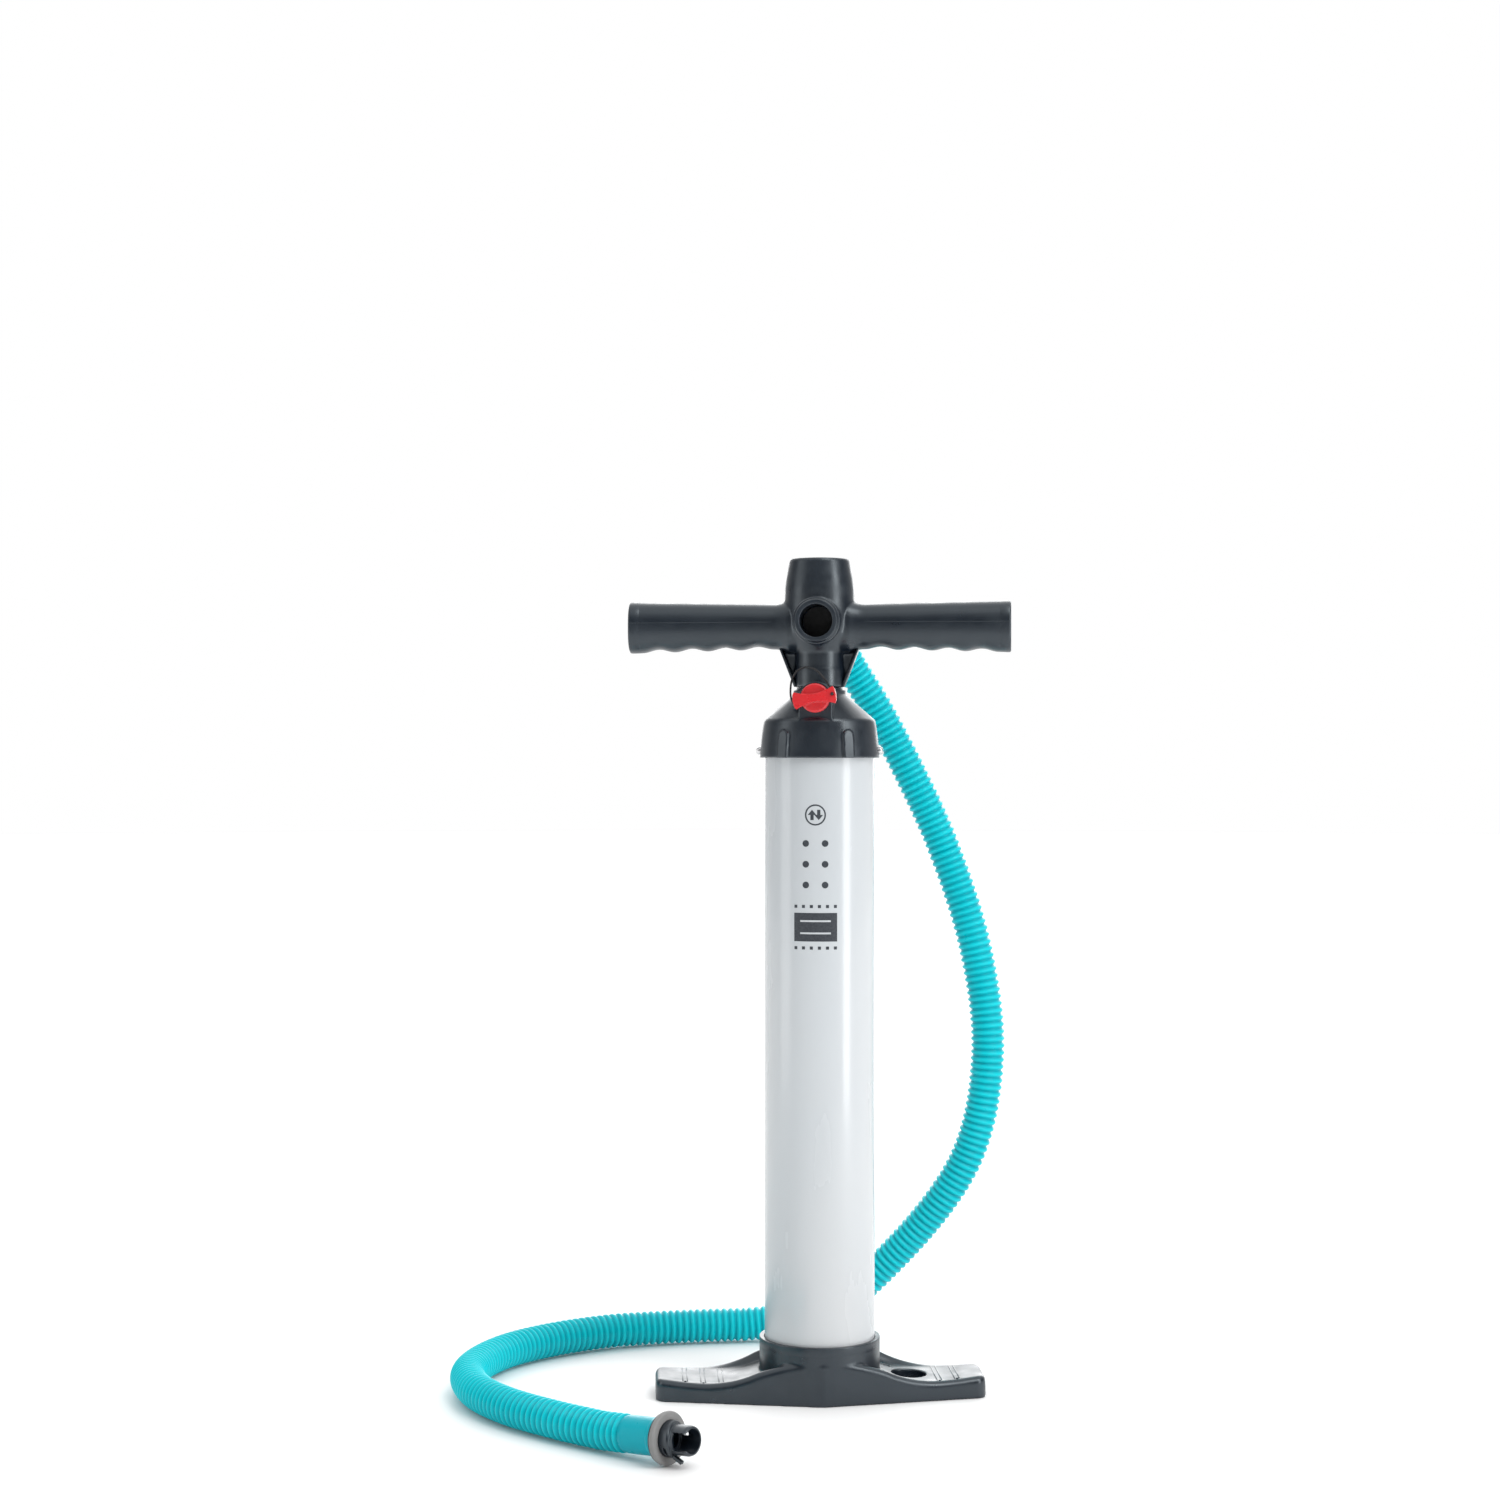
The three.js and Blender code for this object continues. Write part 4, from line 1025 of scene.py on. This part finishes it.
def handle():
    port_axis = along_y(0, PORT_Z)
    adds = [grip_bar(), turned(hub_profile())]
    adds += [turned(port_profile(side), place=port_axis) for side in (-1, 1)]
    adds += [gusset_web(side) for side in (-1, 1)]
    hollow_x = np.linspace(46, HANDLE_HALF + 2, 5)
    cuts = [skin([grip_section(side * x, 3.3) for x in hollow_x]) for side in (-1, 1)]
    cuts.append(drum(13.4, NECK_BOTTOM_Z - 2, 588))
    cuts.append(drum(PORT_BORE_R, -60, FRONT_BORE_END_Y, place=port_axis))
    cuts.append(drum(PORT_BORE_R, BACK_BORE_END_Y, 60, place=port_axis))
    cuts.append(drum(GAUGE_R, 641, 670))
    finish(moulded("handle_moulding", adds, cuts, 1.02, 4), "handle_body")
    # A black disc at the bottom of the front port's bore: painted shade, so that the bore reads as a deep
    # dark hole.
    disc_r, disc_y = PORT_BORE_R + 0.3, FRONT_BORE_END_Y
    disc = [(0, disc_y - 0.6), (disc_r, disc_y - 0.6), (disc_r, disc_y + 0.6), (0, disc_y + 0.6)]
    finish(lathe("port_bore_shade_disc", disc, 0.3, 64, port_axis), "handle_body", "black_rubber")
    for side, side_name in SIDES:
        grip_plug(side, side_name)
        gusset_flange(side, side_name)
        grip_rim(side, side_name)
        for face, face_name in FACES:
            seam(side, face, f"{side_name}_{face_name}")
    for face, face_name in FACES:
        port_lip(face, face_name)


# ---- gauge ----
def gauge_ticks():
    """Forty steps round the dial, every fifth mark a long one."""
    solids = []
    for k in range(41):
        t = GAUGE_START + GAUGE_SWEEP * k / 40
        inner, half = (15.2, 0.16) if k % 5 else (13.6, 0.32)
        out, side = Vector((cos(t), sin(t), 0)), Vector((-sin(t), cos(t), 0))
        corners = [out * r + side * w for r, w in ((inner, -half), (17, -half), (17, half), (inner, half))]
        rings = [[c + Vector((0, 0, z)) for c in corners] for z in (DIAL_TOP_Z - 0.05, DIAL_TOP_Z + 0.06)]
        solids.append(skin(rings))
    finish(mesh_piece("gauge_ticks", *joined(solids)), None, "dial_print", "handle", "print_ink")


def gauge_numbers():
    for k in range(5):
        t = GAUGE_START + GAUGE_SWEEP * k / 4
        text = bpy.data.curves.new(f"gauge_number_{k}", "FONT")
        text.body = str(k * 5)
        text.size = 3.6 * MM
        text.align_x, text.align_y = "CENTER", "CENTER"
        text.extrude = 0.05 * MM
        number = link(bpy.data.objects.new(text.name, text))
        number.location = Vector((10.6 * cos(t), 10.6 * sin(t), DIAL_TOP_Z + 0.05)) * MM
        finish(number, None, "dial_print", "handle", "print_ink")


def gauge():
    cup = [(0, 641.3), (20.6, 641.3), (20.6, 651), (18.8, 651), (18.8, 646), (1, 646), (1, 648.6),
           (0, 648.6)]
    finish(lathe("gauge_cup", cup, 0.2, 72), "gauge_body")
    dial = [(1.6, 646.3), (18.4, 646.3), (18.4, 647.1), (1.6, 647.1)]
    finish(lathe("gauge_face", dial, 0.15, 72), "gauge_dial")
    gauge_ticks()
    gauge_numbers()
    blade = [(-5, -1.1), (15, -0.3), (15, 0.3), (-5, 1.1)]
    pointer = prism_z(blade, 647.6, 648.4, Matrix.Rotation(GAUGE_START, 4, "Z"))
    boss = turned([(1.3, 647.5), (2.6, 647.5), (2.6, 649), (1.3, 649)], 32)
    solid("gauge_pointer", joined([pointer, boss]), 35, "gauge_needle")
    lens_r, lens_z, crown = 20.3, 652.5, 1.3
    angles = np.linspace(0.1, pi / 2, 10)[:-1]
    dome = [(0, lens_z - 1.2), (lens_r, lens_z - 1.2), (lens_r, lens_z)]
    dome += [(lens_r * cos(a), lens_z + crown * sin(a)) for a in angles]
    dome.append((0, lens_z + crown))
    finish(lathe("gauge_window", dome, 0, 72, angle=30), "gauge_lens")
    rim = [(17.8, 653.2), (20.7, 653.0), (20.7, 654.6), (20.2, HUB_TOP_Z), (18.2, HUB_TOP_Z), (17.6, 654.2)]
    finish(lathe("gauge_rim", rim, 0.25, 72), "gauge_bezel")


# ---- rod ----
def rod():
    profile = [(11.4, rod_low.z), (13, rod_low.z), (13, rod_high.z), (11.4, rod_high.z)]
    finish(lathe("rod_bright_tube", profile, 0.2, 72), "rod_outer_tube")


# ---- hose ----
def hose_line():
    """The hose's centre line, from the rear port's cuff to the nozzle's cuff."""
    start = Vector((0, UPPER_CUFF_END_Y - 12 + 0.3, PORT_Z))
    end = WASHER_CENTRE + NOZZLE_DIRECTION
    raised = [start + Vector((0, 28, 0)), (2, 117, 601), (13, 134, 580), (37, 143, 540), (64, 148, 488),
              (92, 152, 426), (120, 152, 338), (130, 151, 250), (112, 155, 162), (48, 169, 74),
              (-13, 176, 24)]
    lying = [(-73, 171), (-186, 133), (-255, 61), (-275, -19), (-260, -75), (-228, -120), (-186, -156)]
    points = raised + [(x, y, HOSE_FLOOR_Z) for x, y in lying] + [end - NOZZLE_DIRECTION * 62]
    curve = centripetal([tuple(p) for p in points])
    curve[:, 2] = np.maximum(curve[:, 2], HOSE_CREST_R + 0.2)
    return np.vstack([[tuple(start)], curve, [tuple(end - NOZZLE_DIRECTION * 38.3)]])


def crest_values(piece, values):
    """Stores on each point how much of a crest it is, which paints shade into the hose's valleys and a
    highlight on its crests.
    """
    attribute = piece.data.attributes.new("crest", "FLOAT", "POINT")
    attribute.data.foreach_set("value", values.astype(np.float32))
    return piece


def corrugated(name, line, at, begin, end, sides=38):
    """A stretch of the hose, with its rings; begin and end are lengths along it."""
    keep = (at >= begin - 1e-6) & (at <= end + 1e-6)
    crest = (0.5 - 0.5 * np.cos(2 * pi * at[keep] / CORRUGATION_PITCH)) ** 0.75
    radii = HOSE_VALLEY_R + (HOSE_CREST_R - HOSE_VALLEY_R) * crest
    piece = solid(name, tube(line[keep], radii, sides), 80, "hose", rides=False)
    # The crest share also paints shade into the valleys and a highlight onto the crests.
    return crest_values(piece, np.repeat(crest, sides))


def hose():
    """The hose in two lengths that meet on a ring."""
    line, at = resample(hose_line(), CORRUGATION_PITCH / RINGS_PER_CORRUGATION)
    pitches = int(at[-1] / CORRUGATION_PITCH)
    line, at = resample(line, at[-1] / (pitches * RINGS_PER_CORRUGATION))
    at = at * (pitches * CORRUGATION_PITCH / at[-1])
    cut = next(i for i in range(len(line)) if at[i] > 60 and line[i][2] < HOSE_SPLIT_Z)
    split = round(at[cut] / CORRUGATION_PITCH) * CORRUGATION_PITCH
    upper = corrugated("hose_upper", line, at, 0, split)
    lower = corrugated("hose_lower", line, at, split, at[-1])
    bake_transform(upper)
    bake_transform(lower)


def plain_cuff(name, profile, place):
    """A smooth cuff, in the darker colour that the hose has in its valleys, where shade is painted."""
    piece = lathe(name, profile, 0.5, 72, place)
    return crest_values(piece, np.zeros(len(piece.data.vertices)))


def hose_fittings():
    """The ribbed nut at the back port and the hose's two cuffs."""
    face, nut_r, ribs = PORT_FACE_Y, 17.5, 16
    place = along_y(0, PORT_Z)
    profile = [(8.5, face - 12), (12.2, face - 12), (12.2, face + 0.4), (nut_r, face + 0.4),
               (nut_r, face + 12), (15.2, face + 14), (15.2, face + 18), (8.5, face + 18)]

    def groove(t, r, h):
        if r > nut_r - 1.5 and face + 1.5 < h < face + 11.5:
            return -0.8 * (0.5 + 0.5 * cos(ribs * t)) ** 3
        return 0

    finer = []
    for a, b in zip(profile, profile[1:] + profile[:1]):
        steps = 8 if a[0] == b[0] == nut_r else 1
        shares = [k / steps for k in range(steps)]
        finer += [(a[0] + (b[0] - a[0]) * s, a[1] + (b[1] - a[1]) * s) for s in shares]
    finish(lathe("hose_lock_nut", finer, 0.5, 192, place, groove), "hose_nut")
    top = [(9, face + 18.3), (13.5, face + 18.3), (13.5, face + 33), (13.0, face + 36), (11, face + 36),
           (11, face + 48), (9, face + 48)]
    finish(plain_cuff("hose_cuff_top", top, place), "hose_cuff_upper")
    end = [(9, -51), (10.8, -51), (10.8, -39), (12.9, -39), (13.5, -36), (13.5, -12), (14.1, -10.5),
           (14.1, -5.8), (9, -5.8)]
    finish(plain_cuff("hose_cuff_end", end, along_nozzle()), "hose_cuff_lower")


# ---- nozzle ----
def block(low, high, place):
    outline = [(low[0], low[1]), (high[0], low[1]), (high[0], high[1]), (low[0], high[1])]
    return prism_z(outline, low[2], high[2], place)


def nozzle_cam(place):
    """The locking disc: its front edge climbs like a cam on the near side, round a central bore."""
    rings = []
    for k in range(72):
        t = 2 * pi * k / 72
        near = 0.5 - 0.5 * cos(t)
        height = 3.4 + 5.2 * near**1.6
        outline = ((6.2, -5.5), (12.6, -5.5), (12.6, 0), (13, 0.3), (13, height - 1), (12.2, height),
                   (8.2, height + 0.6 * near), (6.2, height))
        rings.append([place @ Vector((r * cos(t), r * sin(t), h)) for r, h in outline])
    return skin(rings, around=True)


def nozzle():
    place = along_nozzle()

    def through(outline, x_from, x_to):
        """An outline across the nozzle and along it, given thickness from side to side."""
        return skin([[place @ Vector((x, y, z)) for y, z in outline] for x in (x_from, x_to)])

    flange = [(12.9, -5.5), (17.9, -5.5), (18.2, -4.3), (12.9, -4.3)]
    finish(lathe("nozzle_back_flange", flange, 0.25, 72, place), "nozzle_flange")
    washer = [(12.9, -4.1), (18.6, -4.1), (19, -2.6), (19, -1.0), (18.2, 0), (12.9, 0)]
    finish(lathe("nozzle_washer", washer, 0.6, 72, place), "nozzle_gasket")
    barrel_wall = [(8.6, 1), (10.4, 1), (10.7, 12), (10.7, 18.6), (10.1, 20.5), (9.5, 21), (8.6, 21)]
    tab_place = place @ Matrix.Translation((-3.5, -10.2, 4)) @ Matrix.Rotation(radians(28), 4, "X")
    tab = block((-1.5, -1.3, 0), (1.5, 1.3, 10.5), tab_place)
    cutaway = block((-14, -6, 9.4), (-3, 6.8, 24), place)
    window = rounded([(1.2, 4.6), (7.6, 4.6), (7.6, 10.4), (1.2, 10.4)], 1.8)
    turns = np.linspace(0, 2 * pi, 24, endpoint=False)
    eye = [(-6.2 + 2.9 * cos(t), 4.3 + 1.3 * sin(t)) for t in turns]
    adds = [nozzle_cam(place), turned(barrel_wall, 64, place), tab]
    cuts = [cutaway, through(window, 3, 16), through(eye, -14, -8.4)]
    finish(moulded("nozzle_bayonet", adds, cuts, 0.3, 2), "nozzle_core")


# ---- pieces of the frame that stay as they are ----
def dress_frame():
    """Hidden inner pieces keep their frame mesh and take the finish of their slot."""
    for node, obj in frame["nodes"].items():
        obj.data.materials.clear()
        obj.data.materials.append(MATERIALS[SLOTS[node]])


# ---- studio ----
def studio_floor():
    floor = link(bpy.data.objects.new("floor", bpy.data.meshes.new("floor")))
    bm = bmesh.new()
    bmesh.ops.create_circle(bm, cap_ends=True, segments=96, radius=14)
    bm.to_mesh(floor.data)
    bm.free()
    floor.location.z = cad_bounds[0][2] - 0.4 * MM
    tree, shader = material("floor_white", (0.9, 0.9, 0.9), 0.85)
    color_from(tree, shader, noise(tree, 3, 3), (0.9, 0.9, 0.9), (0.92, 0.92, 0.92))
    floor.data.materials.append(MATERIALS["floor_white"])


def studio_world():
    """White to the camera, and for all other rays dim in front and bright above and behind."""
    world = bpy.data.worlds.new("studio")
    bpy.context.scene.world = world
    world.use_nodes = True
    tree = world.node_tree
    where = new_node(tree, "TexCoord")["Generated"]
    level = 0.12
    for direction, low, high, strength in (
            ((0, 0, 1), 0.3, 0.85, 1), ((0, 1, 0.15), 0.2, 0.8, 0.5), ((0, 1, 0.27), 0.86, 0.95, 3)):
        towards = Vector(direction).normalized()
        facing = new_node(tree, "VectorMath", {0: where, 1: towards}, operation="DOT_PRODUCT")["Value"]
        share = spread(tree, facing, low, high, 0, strength, interpolation_type="SMOOTHSTEP")
        level = new_node(tree, "Math", {0: level, 1: share}, operation="ADD")[0]
    seen = new_node(tree, "LightPath")["Is Camera Ray"]
    strength = new_node(tree, "Mix", {"Factor": seen, "A": level, "B": 1.0})["Result"]
    background = tree.nodes["Background"]
    tree.links.new(strength, background.inputs["Strength"])
    background.inputs["Color"].default_value = (1, 1, 1, 1)


def light(name, kind, facing, **settings):
    """A light that shines back along a direction."""
    data = bpy.data.lights.new(name, kind)
    for key, value in settings.items():
        setattr(data, key, value)
    lamp = link(bpy.data.objects.new(name, data))
    lamp.rotation_euler = facing.to_track_quat("Z", "Y").to_euler()
    return lamp


def softbox(name, azimuth, distance, width, radiance):
    """An upright lit panel round the pump, unseen by the camera."""
    outward = Vector((sin(radians(azimuth)), -cos(radians(azimuth)), 0))
    power = pi * width * PANEL_HEIGHT * radiance
    lamp = light(name, "AREA", outward, shape="RECTANGLE", size=width, size_y=PANEL_HEIGHT, energy=power)
    lamp.location = outward * distance + Vector((0, 0, PANEL_HEIGHT / 2))
    lamp.visible_camera = False


def studio():
    studio_floor()
    studio_world()
    light("key", "SUN", Vector((0.5, -0.55, 0.95)), energy=0.78, angle=radians(28))
    softbox("softbox_right", azimuth=62, distance=1.6, width=0.45, radiance=5.9)
    softbox("softbox_left", azimuth=-70, distance=1.9, width=0.8, radiance=1.7)


def camera():
    """A level camera at the height of the cap, a little to the pump's right."""
    azimuth, distance, height, span = radians(4.3), 2.04, 0.505, 1.18
    data = bpy.data.cameras.new("camera")
    data.sensor_width = 36
    data.lens = data.sensor_width * distance / span
    cam = link(bpy.data.objects.new("camera", data))
    cam.location = (distance * sin(azimuth), -distance * cos(azimuth), height)
    aim = Vector((-0.055, 0, height)) - cam.location
    cam.rotation_euler = aim.to_track_quat("-Z", "Y").to_euler()
    bpy.context.scene.camera = cam
    bpy.context.scene.view_settings.view_transform = "Standard"


dress_frame()
foot()
barrel()
prints()
cap()
plug()
cord()
handle()
gauge()
rod()
hose()
hose_fittings()
nozzle()
studio()
camera()
